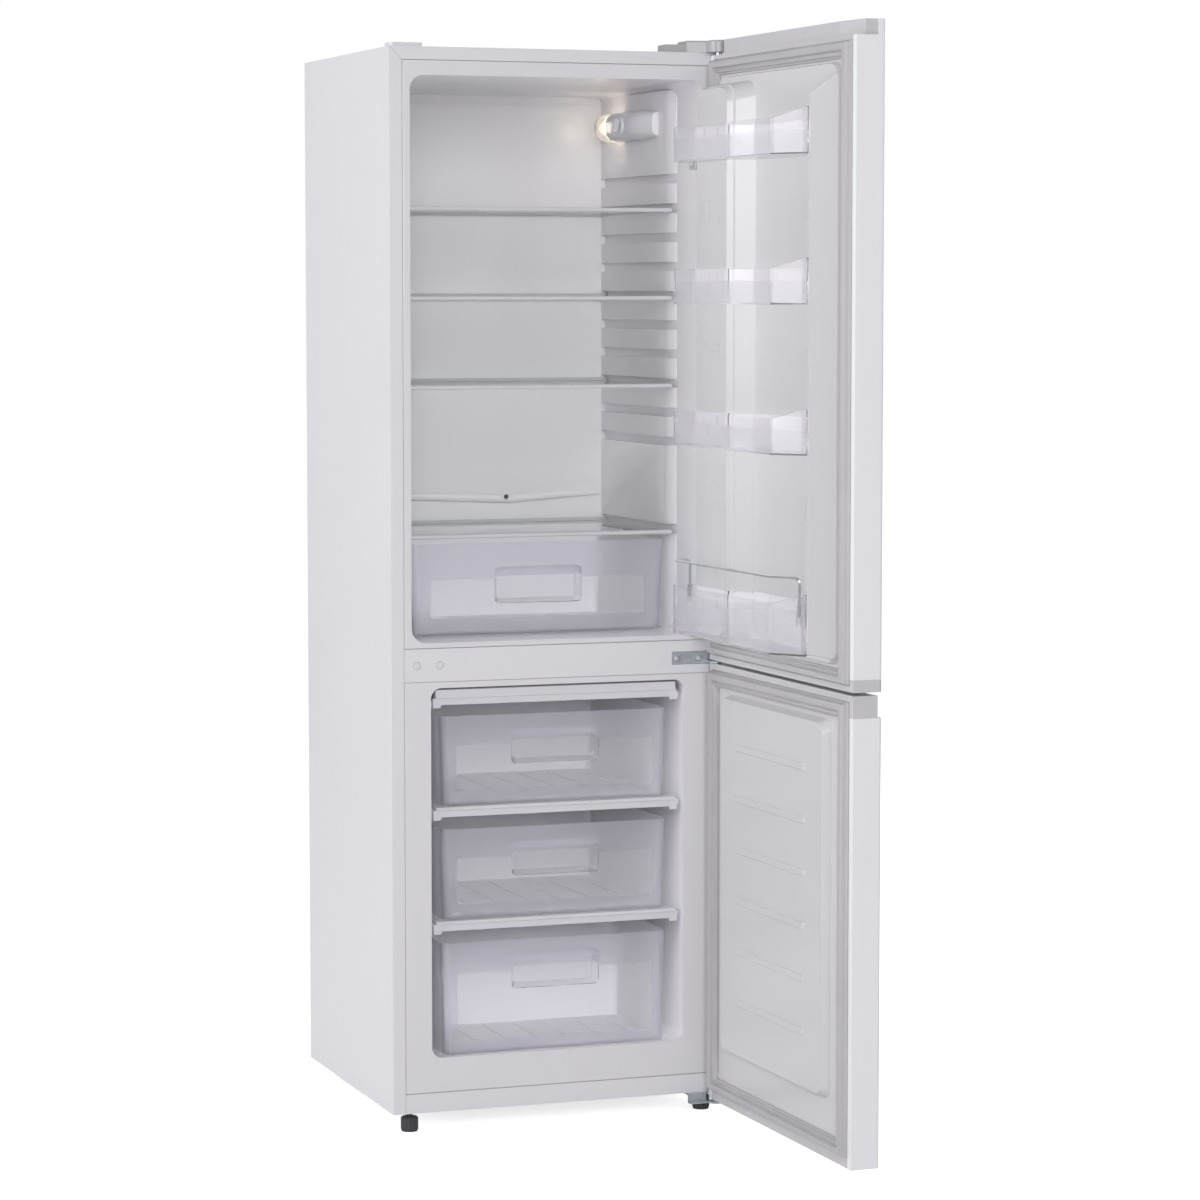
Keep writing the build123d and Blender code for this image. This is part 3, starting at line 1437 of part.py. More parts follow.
# --- Everything in its place ---------------------------------------------------------------------------
cabinet_nodes = {
    "cabinet_shell": cabinet_shell(),
    "back_panel": back_panel(),
    "base_tray": base_tray(),
    "mid_rail": mid_rail(),
    "fridge_liner": fridge_liner(),
    "freezer_liner": freezer_liner(),
    "insulation": insulation(),
    "hole_plugs": hole_plugs(),
    "evaporators": evaporators(),
    "evaporator_trims": evaporator_trims(),
    "compressor_plate": compressor_plate(),
    "compressor_mounts": compressor_mounts(),
    "compressor": compressor(),
    "relay_box": relay_box(),
    "drip_tray": drip_tray(),
    "drain_pipe": drain_pipe(),
    "refrigerant_pipes": refrigerant_pipes(),
    "rear_feet": rear_feet(),
    "foot_left": front_foot(-1),
    "foot_right": front_foot(1),
    "top_hinge": top_hinge(),
    "top_hinge_cover": top_hinge_cover(),
    "mid_hinge": mid_hinge(),
    "bottom_hinge": bottom_hinge(),
    "hinge_screws": hinge_screws(),
    "thermostat_housing": thermostat_housing(),
    "thermostat_knob": thermostat_knob(),
    "lamp_cover": lamp_cover(),
    "lamp": lamp(),
    "door_switch_body": door_switch_body(),
    "door_switch_button": door_switch_plunger(),
    "cover_shelf_glass": shelf_glass(cover_slot_floor),
    "cover_shelf_trims": shelf_trims(cover_slot_floor),
    "crisper": crisper(),
}
for number, shelf_floor in enumerate(shelf_floors, 1):
    cabinet_nodes[f"shelf_{number}_glass"] = shelf_glass(shelf_floor)
    cabinet_nodes[f"shelf_{number}_trims"] = shelf_trims(shelf_floor)
for number in range(len(level_heights)):
    cabinet_nodes[f"freezer_drawer_{number + 1}"] = freezer_drawer(number)

door_nodes = {
    "upper_door_skin": upper_skin(),
    "upper_door_top_cap": upper_top_cap(),
    "upper_door_bottom_cap": upper_bottom_cap(),
    "upper_door_liner": upper_liner(),
    "upper_door_foam": upper_foam(),
    "upper_gasket": gasket(*upper_seal),
    "bottle_bin": bottle_bin(),
    "bottle_rail": bottle_rail(),
    "lower_door_skin": lower_skin(),
    "lower_door_grip_cap": lower_grip_cap(),
    "lower_door_bottom_cap": lower_bottom_cap(),
    "lower_door_liner": lower_liner(),
    "lower_door_foam": lower_foam(),
    "lower_gasket": gasket(*lower_seal),
}
for number in range(len(bin_drops)):
    door_nodes[f"door_bin_{number + 1}"] = door_bin(number)

to_origin = Pos(-origin_x, -origin_y, 0)
about_hinge = Pos(hinge_x, hinge_y, 0) * Rot(0, 0, door_open_angle) * Pos(-hinge_x, -hinge_y, 0)
os.makedirs("parts", exist_ok=True)
for place, nodes in ((to_origin, cabinet_nodes), (to_origin * about_hinge, door_nodes)):
    for name, shape in nodes.items():
        solids = Compound(shape) if isinstance(shape, list) else shape
        export_step(place * solids, f"parts/{name}.step")
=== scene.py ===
import json
import math
import bmesh
import bpy
from mathutils import Matrix, Vector


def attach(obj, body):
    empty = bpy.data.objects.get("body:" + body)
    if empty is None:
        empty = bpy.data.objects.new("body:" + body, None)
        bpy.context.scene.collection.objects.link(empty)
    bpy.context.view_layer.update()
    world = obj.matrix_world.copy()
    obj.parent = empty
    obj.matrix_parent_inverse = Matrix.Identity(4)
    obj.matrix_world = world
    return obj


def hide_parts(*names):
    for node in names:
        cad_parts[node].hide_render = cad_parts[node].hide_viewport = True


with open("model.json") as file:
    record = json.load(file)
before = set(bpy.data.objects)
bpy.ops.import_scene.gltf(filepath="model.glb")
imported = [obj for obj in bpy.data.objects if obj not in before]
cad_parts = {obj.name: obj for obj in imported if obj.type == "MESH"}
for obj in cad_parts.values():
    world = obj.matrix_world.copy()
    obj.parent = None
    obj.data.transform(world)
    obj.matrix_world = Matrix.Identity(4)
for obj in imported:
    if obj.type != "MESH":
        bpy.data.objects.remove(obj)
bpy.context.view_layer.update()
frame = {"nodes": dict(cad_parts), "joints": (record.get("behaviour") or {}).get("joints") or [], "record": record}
record = frame["record"]
bodyOfNode = {node: body for body, nodes in record["behaviour"]["bodies"].items()
              for node in nodes}
slotOfNode = {part["node"]: part["material_slot"] for part in record["subparts"]}
print("frame loaded:", len(frame["nodes"]), "nodes")

mm = 0.001


def jointNamed(name):
    return next(j for j in frame["joints"] if j["name"] == name)


doorFit = {
    "hingeInset": 16.5 * mm,     # hinge axis from the door's hinge end
    "hingeSetback": 6.4 * mm,    # hinge axis behind the door's inner face
}


def doorMatrix(joint):
    # takes (s, r, z): along the door from its hinge end, inwards from its inner face, up
    x, y, _ = jointNamed(joint)["pos_m"]
    openAngle = -math.radians(jointNamed(joint)["range_deg"][0])
    shut = Matrix(((-1, 0, 0, doorFit["hingeInset"]), (0, 1, 0, doorFit["hingeSetback"]),
                   (0, 0, 1, 0), (0, 0, 0, 1)))
    return Matrix.Translation((x, y, 0)) @ Matrix.Rotation(openAngle, 4, "Z") @ shut


# the steps that materials are put together from
def startMaterial(name):
    mat = bpy.data.materials.new(name)
    mat.use_nodes = True
    tree = mat.node_tree
    tree.nodes.clear()
    out = tree.nodes.new("ShaderNodeOutputMaterial")
    shader = tree.nodes.new("ShaderNodeBsdfPrincipled")
    tree.links.new(shader.outputs[0], out.inputs["Surface"])
    where = tree.nodes.new("ShaderNodeTexCoord")
    return mat, tree, shader, where.outputs["Object"], out


def feed(tree, node, values):
    # links the named inputs to other nodes' outputs, or sets them to plain values
    for name, value in values.items():
        if isinstance(value, bpy.types.NodeSocket):
            tree.links.new(value, node.inputs[name])
        else:
            node.inputs[name].default_value = value


def noiseNode(tree, where, scale, detail=2.0, roughness=0.5):
    node = tree.nodes.new("ShaderNodeTexNoise")
    feed(tree, node, {"Vector": where, "Scale": scale, "Detail": detail, "Roughness": roughness})
    return node.outputs["Fac"]


def rangeNode(tree, value, low, high, fromLow=0.18, fromHigh=0.82):
    # the value's range between two limits, spread from low to high and held at both
    node = tree.nodes.new("ShaderNodeMapRange")
    feed(tree, node, {"Value": value, "From Min": fromLow, "From Max": fromHigh,
                      "To Min": low, "To Max": high})
    return node.outputs["Result"]


def patches(tree, where, low, high, scale, detail=2.0):
    # wanders between low and high over the surface
    return rangeNode(tree, noiseNode(tree, where, scale, detail), low, high)


def blendColours(tree, factor, first, second):
    node = tree.nodes.new("ShaderNodeMix")
    node.data_type = "RGBA"
    feed(tree, node, {"Factor": factor, "A": (*first, 1), "B": (*second, 1)})
    return node.outputs["Result"]


def shaded(colour, share):
    return [c * share for c in colour]


def mottled(tree, where, colour, share, scale, detail=2.0):
    # the colour, with patches that are darkened to a share of it
    factor = patches(tree, where, 0, 1, scale, detail)
    return blendColours(tree, factor, shaded(colour, share), colour)


def bumpNode(tree, height, strength, distance, normal=None):
    node = tree.nodes.new("ShaderNodeBump")
    feed(tree, node, {"Height": height, "Strength": strength, "Distance": distance})
    if normal is not None:
        tree.links.new(normal, node.inputs["Normal"])
    return node.outputs["Normal"]


def relief(tree, where, strength, distance, scale, detail=2.0, normal=None):
    # low hills over the surface
    return bumpNode(tree, noiseNode(tree, where, scale, detail), strength, distance, normal)


def mathNode(tree, operation, first, second=None):
    node = tree.nodes.new("ShaderNodeMath")
    node.operation = operation
    for socket, value in zip(node.inputs, (first, second)):
        if isinstance(value, (int, float)):
            socket.default_value = value
        elif value is not None:
            tree.links.new(value, socket)
    return node.outputs[0]


def splitNode(tree, where):
    node = tree.nodes.new("ShaderNodeSeparateXYZ")
    tree.links.new(where, node.inputs[0])
    return node.outputs


def mixByRay(tree, kind, usual, special, out):
    # the special shader for one kind of ray, the usual one for all others
    mix = tree.nodes.new("ShaderNodeMixShader")
    path = tree.nodes.new("ShaderNodeLightPath")
    tree.links.new(path.outputs[kind], mix.inputs[0])
    tree.links.new(usual.outputs[0], mix.inputs[1])
    tree.links.new(special.outputs[0], mix.inputs[2])
    tree.links.new(mix.outputs[0], out.inputs["Surface"])


def lampLight(tree, shader, out, passes):
    # lets lamp light through the clear wall, so that what stands behind it isn't dark
    clear = tree.nodes.new("ShaderNodeBsdfTransparent")
    if isinstance(passes, float):
        passes = (passes, passes, passes, 1)
    feed(tree, clear, {"Color": passes})
    mixByRay(tree, "Is Shadow Ray", shader, clear, out)


def cornerBox(tree, where, low, high, corner=10 * mm, soft=1 * mm):
    # 1 inside the round-cornered box between two points, 0 outside, with a soft border
    middle = [(a + b) / 2 for a, b in zip(low, high)]
    core = [(b - a) / 2 - corner for a, b in zip(low, high)]
    place = where
    for operation, values in (("SUBTRACT", middle), ("ABSOLUTE", None), ("SUBTRACT", core),
                              ("MAXIMUM", (0, 0, 0))):
        node = tree.nodes.new("ShaderNodeVectorMath")
        node.operation = operation
        tree.links.new(place, node.inputs[0])
        if values:
            node.inputs[1].default_value = values
        place = node.outputs[0]
    far = tree.nodes.new("ShaderNodeVectorMath")
    far.operation = "LENGTH"
    tree.links.new(place, far.inputs[0])
    return rangeNode(tree, far.outputs["Value"], 1, 0, corner - soft, corner)


def joinedBoxes(tree, where, boxes):
    mask = 0.0
    for low, high in boxes:
        mask = mathNode(tree, "MAXIMUM", cornerBox(tree, where, low, high), mask)
    return mask


mitre = {
    # seams of the folded flanges at the cabinet's upper corners: outer end along x, side
    "corners": ((-316.6 * mm, 1), (278.4 * mm, -1)),
    "top": 1830 * mm, "width": 21.5 * mm, "half": 0.35 * mm, "shade": 0.45,
    "front": 38 * mm, "frontFade": 1 * mm, "lowerFade": 0.2 * mm,
}


def mitreSeams(tree, where):
    # 1 on the slanting seams, 0 elsewhere
    x, y, z = splitNode(tree, where)
    half = mitre["half"]
    seams = 0.0
    for corner, side in mitre["corners"]:
        inwards = mathNode(tree, "MULTIPLY", mathNode(tree, "SUBTRACT", x, corner), side)
        across = mathNode(tree, "ADD", inwards, mathNode(tree, "SUBTRACT", z, mitre["top"]))
        line = rangeNode(tree, mathNode(tree, "ABSOLUTE", across), 1, 0, half / 2, half * 1.5)
        seams = mathNode(tree, "ADD", line, seams)
    onFront = rangeNode(tree, y, 1, 0, mitre["front"], mitre["front"] + mitre["frontFade"])
    low = mitre["top"] - mitre["width"]
    onFlange = rangeNode(tree, z, 0, 1, low - mitre["lowerFade"], low)
    return mathNode(tree, "MULTIPLY", seams, mathNode(tree, "MULTIPLY", onFront, onFlange))


def texturedPaint(name, colour, grain, depth, seams=False):
    # stoved paint: a fine orange peel over sheet that is not quite flat
    mat, tree, shader, where, _ = startMaterial(name)
    if seams:
        clean = mathNode(tree, "SUBTRACT", 1, mitreSeams(tree, where))
        paint = blendColours(tree, clean, shaded(colour, mitre["shade"]), colour)
    else:
        paint = mottled(tree, where, colour, share=0.985, scale=3)
    sheet = relief(tree, where, strength=0.1, distance=2 * mm, scale=2.2, detail=0)
    peel = relief(tree, where, depth, distance=0.4 * mm, scale=grain, detail=0, normal=sheet)
    feed(tree, shader, {
        "Base Color": paint, "Normal": peel, "Coat Weight": 0.15, "Coat Roughness": 0.2,
        "Roughness": patches(tree, where, low=0.34, high=0.42, scale=6, detail=1)})
    return mat


# painted shade on the liner's front flange: the share of the colour it keeps, and the depths over which it fades
# to the plain liner
paintedFlangeShade = {"shade": 0.76, "front": 38 * mm, "back": 42 * mm}


def formedPlastic(name, colour, rough=(0.27, 0.30), shadedFlange=False):
    # sheet or moulded plastic, with the soft waves that forming leaves; when asked, the liner's front flange gets
    # a painted shade: a darker copy of the liner's colour
    mat, tree, shader, where, _ = startMaterial(name)
    if shadedFlange:
        behind = rangeNode(tree, splitNode(tree, where)[1], 0, 1,
                           paintedFlangeShade["front"], paintedFlangeShade["back"])
        tone = blendColours(tree, behind, shaded(colour, paintedFlangeShade["shade"]), colour)
    else:
        tone = mottled(tree, where, colour, share=0.985, scale=5, detail=3)
    feed(tree, shader, {
        "Base Color": tone, "Roughness": patches(tree, where, *rough, scale=4, detail=1),
        "Normal": relief(tree, where, strength=0.04, distance=2 * mm, scale=5, detail=0)})
    return mat


def softSeal(name, colour):
    mat, tree, shader, where, _ = startMaterial(name)
    feed(tree, shader, {
        "Base Color": mottled(tree, where, colour, share=0.92, scale=14, detail=3),
        "Normal": relief(tree, where, strength=0.12, distance=0.4 * mm, scale=350),
        "Roughness": patches(tree, where, low=0.42, high=0.55, scale=60)})
    return mat


def bareMetal(name, colour, rough, spangle=0):
    # spangle: how fine the crystals of a zinc coat are, 0 for other metals
    mat, tree, shader, where, _ = startMaterial(name)
    drawn = noiseNode(tree, where, scale=90, detail=4, roughness=0.6)
    if spangle:
        cells = tree.nodes.new("ShaderNodeTexVoronoi")
        feed(tree, cells, {"Vector": where, "Scale": spangle})
        channels = tree.nodes.new("ShaderNodeSeparateColor")
        tree.links.new(cells.outputs["Color"], channels.inputs[0])
        tint = channels.outputs[0]
    else:
        tint = rangeNode(tree, drawn, 0, 1)
    feed(tree, shader, {
        "Metallic": 1.0, "Base Color": blendColours(tree, tint, shaded(colour, 0.86), colour),
        "Normal": bumpNode(tree, drawn, strength=0.08, distance=0.3 * mm),
        "Roughness": patches(tree, where, *rough, scale=30, detail=4)})
    return mat


def darkFinish(name, colour, rough=(0.4, 0.6)):
    mat, tree, shader, where, _ = startMaterial(name)
    worn = [c * 1.6 + 0.01 for c in colour]
    tint = patches(tree, where, 0, 1, scale=22, detail=4)
    feed(tree, shader, {
        "Base Color": blendColours(tree, tint, colour, worn),
        "Normal": relief(tree, where, strength=0.15, distance=0.5 * mm, scale=260, detail=3),
        "Roughness": patches(tree, where, *rough, scale=45, detail=3)})
    return mat


def clearGlass(name, colour):
    mat, tree, shader, where, out = startMaterial(name)
    feed(tree, shader, {
        "Base Color": mottled(tree, where, colour, share=0.985, scale=8),
        "Transmission Weight": 1.0, "IOR": 1.52,
        "Roughness": patches(tree, where, low=0, high=0.02, scale=5, detail=1),
        "Normal": relief(tree, where, strength=0.01, distance=1 * mm, scale=4, detail=0)})
    lampLight(tree, shader, out, 0.96)
    return mat


def frostedPlastic(name, grained, clear, windows, fronts, grain, milk):
    # moulded clear plastic, grained and darker where its front wall has no window;
    # milk: how much light the grained front, the windows and the walls behind it scatter
    mat, tree, shader, where, out = startMaterial(name)
    window, front = (joinedBoxes(tree, where, boxes) for boxes in (windows, fronts))
    outside = mathNode(tree, "SUBTRACT", 1.0, window)
    rough = mathNode(tree, "MULTIPLY", outside, patches(tree, where, *grain, scale=6, detail=1))
    frontMilk, windowMilk, wallMilk = milk
    walls = rangeNode(tree, front, 1 - wallMilk, 1 - frontMilk, 0, 1)
    through = rangeNode(tree, window, 0, 1 - windowMilk, 0, 1)
    feed(tree, shader, {
        "Base Color": blendColours(tree, mathNode(tree, "MULTIPLY", front, outside),
                                   clear, grained),
        "Roughness": mathNode(tree, "ADD", rough, 0.02), "IOR": 1.25,
        "Transmission Weight": mathNode(tree, "MAXIMUM", walls, through),
        "Normal": relief(tree, where, strength=0.03, distance=1 * mm, scale=6, detail=0)})
    lampLight(tree, shader, out, rangeNode(tree, window, 0.95, 0.98, 0, 1))
    return mat


def glowingLens(name, colour, clearShare, glow):
    # clear or milky plastic that the lamp behind it lights up
    mat, tree, shader, where, out = startMaterial(name)
    feed(tree, shader, {
        "Base Color": mottled(tree, where, colour, share=0.97, scale=40),
        "Transmission Weight": clearShare, "IOR": 1.15, "Roughness": 0.12,
        "Emission Color": (1.0, 0.93, 0.78, 1), "Emission Strength": glow})
    lampLight(tree, shader, out, 0.9)
    return mat


def rigidFoam(name, colour):
    mat, tree, shader, where, _ = startMaterial(name)
    feed(tree, shader, {
        "Base Color": mottled(tree, where, colour, share=0.8, scale=30, detail=5), "Roughness": 0.9,
        "Normal": relief(tree, where, strength=0.5, distance=1 * mm, scale=240, detail=4)})
    return mat


# the drawers' clear windows in mm: half width, lower edge, upper edge, place of the front
drawerSizes = [
    (184.5, 571, 663, 18), (184.5, 376, 468, 18), (184.5, 140, 270, 18), (202, 858, 937, 106)]
drawerFace = {
    "middle": -19.1, "below": 60, "above": 80,    # the grained wall round the window
    "wall": (16, 62), "window": (36, 60),         # first and last depth behind that place
}
aside = 1    # metres, past the object on every side, so that a box has no limit there
drawerWindows, drawerFronts = [], []
for half, low, high, place in drawerSizes:
    near, far = drawerFace["wall"]
    drawerFronts.append(((-aside, (place + near) * mm, (low - drawerFace["below"]) * mm),
                         (aside, (place + far) * mm, (high + drawerFace["above"]) * mm)))
    near, far = drawerFace["window"]
    drawerWindows.append((
        ((drawerFace["middle"] - half) * mm, (place + near) * mm, low * mm),
        ((drawerFace["middle"] + half) * mm, (place + far) * mm, high * mm)))
# the bins are clear above a grained band: upper edge of the band and rim of each
binWindows = [((-aside, -aside, low * mm), (aside, aside, high * mm))
              for low, high in ((1679, 1720), (1441, 1482), (1201.5, 1243), (905, 1000))]
binFronts = [((-aside, -aside, 0), (aside, aside, 2 * aside))]

materials = {
    "painted_shell": texturedPaint("DoorPaint", (0.86, 0.86, 0.89), grain=900, depth=0.07),
    "plain_steel": texturedPaint("RearSheetPaint", (0.72, 0.73, 0.75), grain=300, depth=0.03),
    "dark_steel": darkFinish("CompressorBlack", (0.012, 0.012, 0.013), rough=(0.3, 0.45)),
    "zinc_steel": bareMetal("ZincPlate", (0.62, 0.66, 0.70), rough=(0.28, 0.42), spangle=220),
    # the cabinet's paint is the doors' paint darkened with painted shade
    "cabinet_paint_shaded": texturedPaint("CabinetPaintShaded", (0.735, 0.735, 0.765), grain=900,
                                   depth=0.07, seams=True),
    "control_white": formedPlastic("ControlMoulding", (0.90, 0.90, 0.93), rough=(0.2, 0.24)),
    # the hinge hood's own pale grey, made darker still with painted shade
    "hood_grey_shaded": formedPlastic("HoodMouldingShaded", (0.46, 0.455, 0.47)),
    "white_liner": formedPlastic("FormedLiner", (0.96, 0.945, 0.98), rough=(0.2, 0.24),
                                 shadedFlange=True),
    # the doors' liners are the white liner plastic darkened with painted shade
    "door_liner": formedPlastic("FormedDoorLinerShaded", (0.64, 0.635, 0.65), rough=(0.22, 0.26)),
    "grey_plastic": formedPlastic("PaleGreyMoulding", (0.60, 0.59, 0.61), rough=(0.2, 0.3)),
    # white trims and plugs, darkened with painted shade
    "white_plastic": formedPlastic("WhiteMouldingShaded", (0.70, 0.70, 0.73), rough=(0.25, 0.35)),
    "dark_plastic": darkFinish("DarkFoot", (0.035, 0.035, 0.037)),
    "foam": rigidFoam("RigidFoam", (0.82, 0.74, 0.5)),
    "seal": softSeal("SealVinyl", (0.49, 0.48, 0.50)),
    "black_rubber": darkFinish("BlackRubber", (0.02, 0.02, 0.02), rough=(0.6, 0.8)),
    "shelf_glass": clearGlass("ShelfGlass", (0.93, 0.98, 0.96)),
    "frosted_drawer": frostedPlastic(
        "DrawerPlastic", grained=(0.85, 0.845, 0.895), clear=(0.96, 0.955, 0.98),
        windows=drawerWindows, fronts=drawerFronts, grain=(0.28, 0.32), milk=(0.16, 0.12, 0.6)),
    "clear_bin": frostedPlastic(
        "BinPlastic", grained=(0.915, 0.91, 0.93), clear=(0.96, 0.955, 0.97),
        windows=binWindows, fronts=binFronts, grain=(0.07, 0.09), milk=(0.06, 0.02, 0.07)),
    "lamp_glass": glowingLens("LampGlass", (0.95, 0.92, 0.86), clearShare=0.4, glow=0.25),
    "lamp_lens": glowingLens("LampLens", (0.95, 0.94, 0.93), clearShare=0.75, glow=0.02),
    "chrome_wire": bareMetal("ChromeWire", (0.85, 0.86, 0.88), rough=(0.06, 0.12)),
    "copper": bareMetal("CopperLine", (0.78, 0.42, 0.25), rough=(0.2, 0.38)),
    "plain_white_metal": texturedPaint("WhiteEnamel", (0.8, 0.8, 0.82), grain=200, depth=0.03),
}
print("materials made:", len(materials))


def addObject(name, data):
    obj = bpy.data.objects.new(name, data)
    bpy.context.scene.collection.objects.link(obj)
    return obj


def applyModifiers(obj):
    graph = bpy.context.evaluated_depsgraph_get()
    mesh = bpy.data.meshes.new_from_object(obj.evaluated_get(graph))
    obj.modifiers.clear()
    obj.data = mesh


def shadeBySharpness(obj, angle):
    mesh = obj.data
    for polygon in mesh.polygons:
        polygon.use_smooth = True
    mesh.set_sharp_from_angle(angle=math.radians(angle))


# pieces that look different from the rest of their slot
lookOfNode = {"lamp_cover": "lamp_lens", "thermostat_housing": "control_white",
              "thermostat_knob": "control_white", "hole_plugs": "white_plastic",
              "upper_door_liner": "door_liner", "lower_door_liner": "door_liner",
              "cabinet_shell": "cabinet_paint_shaded", "mid_rail": "cabinet_paint_shaded",
              "base_tray": "cabinet_paint_shaded", "top_hinge_cover": "hood_grey_shaded"}


def finishPiece(obj, node):
    slot = slotOfNode[node]
    obj.data.materials.clear()
    obj.data.materials.append(materials[lookOfNode.get(node, slot)])
    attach(obj, bodyOfNode[node])
    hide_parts(node)


rounding = {
    # ways to round a piece, the first sound one is taken: merged faces, share of the radius
    "tries": ((True, 1), (False, 1), (True, 0.8), (False, 0.6), (False, 0)),
    "allowedOverlap": 80 * mm * mm,    # of the triangles of a sound piece
    "segments": 2,
    "sharp": 40,                       # edges that bend more than this are rounded, degrees
    "flat": 0.6,                       # faces that bend less than this are merged, degrees
    "weld": 0.02 * mm,
    "sliver": 0.004 * mm,
    "growth": 1.3,                     # with fewer new faces the bevel has found no room
    "softShading": 50,                 # shading breaks at this angle on a rounded piece
    "crispShading": 28,                # and at this one where the bevel found no room
}
# the fridge's gutter is too fine for rounded edges: its corners in the shared frame
gutter = {"low": Vector((-0.30, 0.470, 1.020)), "high": Vector((0.26, 0.520, 1.090))}


def closeMesh(obj, merged):
    # welds the loose triangles and, if asked, takes out the lines inside flat faces
    bm = bmesh.new()
    bm.from_mesh(obj.data)
    bmesh.ops.remove_doubles(bm, verts=bm.verts, dist=rounding["weld"])
    if merged:
        bmesh.ops.dissolve_limit(bm, angle_limit=math.radians(rounding["flat"]),
                                 verts=bm.verts, edges=bm.edges)
    bm.to_mesh(obj.data)
    bm.free()


def dropSlivers(obj):
    # the bevel leaves faces of no area where it runs out of room
    bm = bmesh.new()
    bm.from_mesh(obj.data)
    bmesh.ops.remove_doubles(bm, verts=bm.verts, dist=rounding["sliver"])
    bmesh.ops.dissolve_degenerate(bm, dist=rounding["sliver"], edges=bm.edges)
    bm.to_mesh(obj.data)
    bm.free()


def overlapArea(mesh):
    # how much the triangles of many-sided faces overlap each other, in square metres
    mesh.calc_loop_triangles()
    shares = {}
    for triangle in mesh.loop_triangles:
        index = triangle.polygon_index
        shares[index] = shares.get(index, 0) + triangle.area
    return sum(abs(shares.get(face.index, 0) - face.area) for face in mesh.polygons)


def markEdges(mesh):
    # marks the edges to round: all sharp ones outside the gutter
    marks = mesh.attributes.new("bevel_weight_edge", "FLOAT", "EDGE")
    limit = math.radians(rounding["sharp"])
    bm = bmesh.new()
    bm.from_mesh(mesh)
    bm.edges.ensure_lookup_table()
    for edge in bm.edges:
        middle = (edge.verts[0].co + edge.verts[1].co) / 2
        within = all(a < m < b for a, m, b in zip(gutter["low"], middle, gutter["high"]))
        sharp = len(edge.link_faces) == 2 and edge.calc_face_angle() > limit
        marks.data[edge.index].value = float(sharp and not within)
    bm.free()


def roundEdges(obj, radius):
    # says whether the bevel found room
    plainFaces = len(obj.data.polygons)
    if radius:
        markEdges(obj.data)
        bevel = obj.modifiers.new("edges", "BEVEL")
        bevel.width = radius
        bevel.segments = rounding["segments"]
        bevel.limit_method = "WEIGHT"
        bevel.use_clamp_overlap = True
        bevel.miter_outer = "MITER_ARC"
        applyModifiers(obj)
        dropSlivers(obj)
    return len(obj.data.polygons) > rounding["growth"] * plainFaces


def roundedCopy(node, radius):
    copies = []
    for merged, share in rounding["tries"]:
        obj = addObject(node + "_rounded", frame["nodes"][node].data.copy())
        closeMesh(obj, merged)
        foundRoom = roundEdges(obj, radius * share)
        shading = rounding["softShading" if foundRoom else "crispShading"]
        copies.append((overlapArea(obj.data), obj, shading))
        if copies[-1][0] < rounding["allowedOverlap"]:
            break
    _, best, shading = min(copies, key=lambda copy: copy[0])
    for _, obj, _ in copies:
        if obj is not best:
            bpy.data.objects.remove(obj)
    best.name = node + "_rounded"
    if len(copies) > 1:
        overlaps = [round(copy[0] / mm / mm, 1) for copy in copies]
        print("rounded after", len(copies), "tries:", node, overlaps)
    shadeBySharpness(best, shading)
    best.modifiers.new("evenFaces", "WEIGHTED_NORMAL").keep_sharp = True
    applyModifiers(best)
    finishPiece(best, node)


# edge radius in millimetres of each piece whose edges show; 0 only evens the shading
edgeRadius = {
    "cabinet_shell": 0.4, "back_panel": 0.4, "base_tray": 0.5, "mid_rail": 0.8,
    "fridge_liner": 0.9, "freezer_liner": 1.0, "hole_plugs": 0.8, "evaporators": 0,
    "evaporator_trims": 0.7, "compressor_plate": 0.3, "relay_box": 1.2, "drip_tray": 0.6,
    "rear_feet": 1.0, "top_hinge": 0.4, "top_hinge_cover": 1.0, "mid_hinge": 0.5,
    "bottom_hinge": 0.5, "door_switch_body": 0.4, "door_switch_button": 0.8, "crisper": 0.7,
    "freezer_drawer_1": 0.7, "freezer_drawer_2": 0.7, "freezer_drawer_3": 0.7,
    "door_bin_1": 0.7, "door_bin_2": 0.7, "door_bin_3": 0.7, "bottle_bin": 0.7,
    "upper_door_skin": 0.35, "upper_door_top_cap": 0.8, "upper_door_bottom_cap": 0.8,
    "upper_door_liner": 1.2, "lower_door_skin": 0.35, "lower_door_grip_cap": 1.0,
    "lower_door_bottom_cap": 0.8, "lower_door_liner": 0.6, "drain_pipe": 0,
    "refrigerant_pipes": 0, "bottle_rail": 0, "lamp": 0, "foot_left": 0.5, "foot_right": 0.5,
    "compressor_mounts": 0.5,
}
for shelf in ("shelf_1", "shelf_2", "shelf_3", "cover_shelf"):
    edgeRadius[shelf + "_glass"] = 0.6
    edgeRadius[shelf + "_trims"] = 0.7
for node, radius in edgeRadius.items():
    roundedCopy(node, radius * mm)
for node, obj in frame["nodes"].items():
    obj.data.materials.clear()
    obj.data.materials.append(materials[slotOfNode[node]])
print("pieces rounded:", len(edgeRadius))


# the forms that the pieces below are made of
creaseAngle = 35    # turned and cut forms have a sharp edge from this bend on, degrees


def meshObject(name, points, faces, smoothAngle):
    mesh = bpy.data.meshes.new(name)
    mesh.from_pydata([tuple(point) for point in points], [], faces)
    obj = addObject(name, mesh)
    bm = bmesh.new()
    bm.from_mesh(mesh)
    bmesh.ops.remove_doubles(bm, verts=bm.verts, dist=0.001 * mm)
    bmesh.ops.recalc_face_normals(bm, faces=bm.faces)
    bm.to_mesh(mesh)
    bm.free()
    shadeBySharpness(obj, smoothAngle)
    return obj


def ringFaces(count, row, nextRow):
    # the faces between two closed rows of points
    return [(row * count + k, row * count + (k + 1) % count,
             nextRow * count + (k + 1) % count, nextRow * count + k) for k in range(count)]


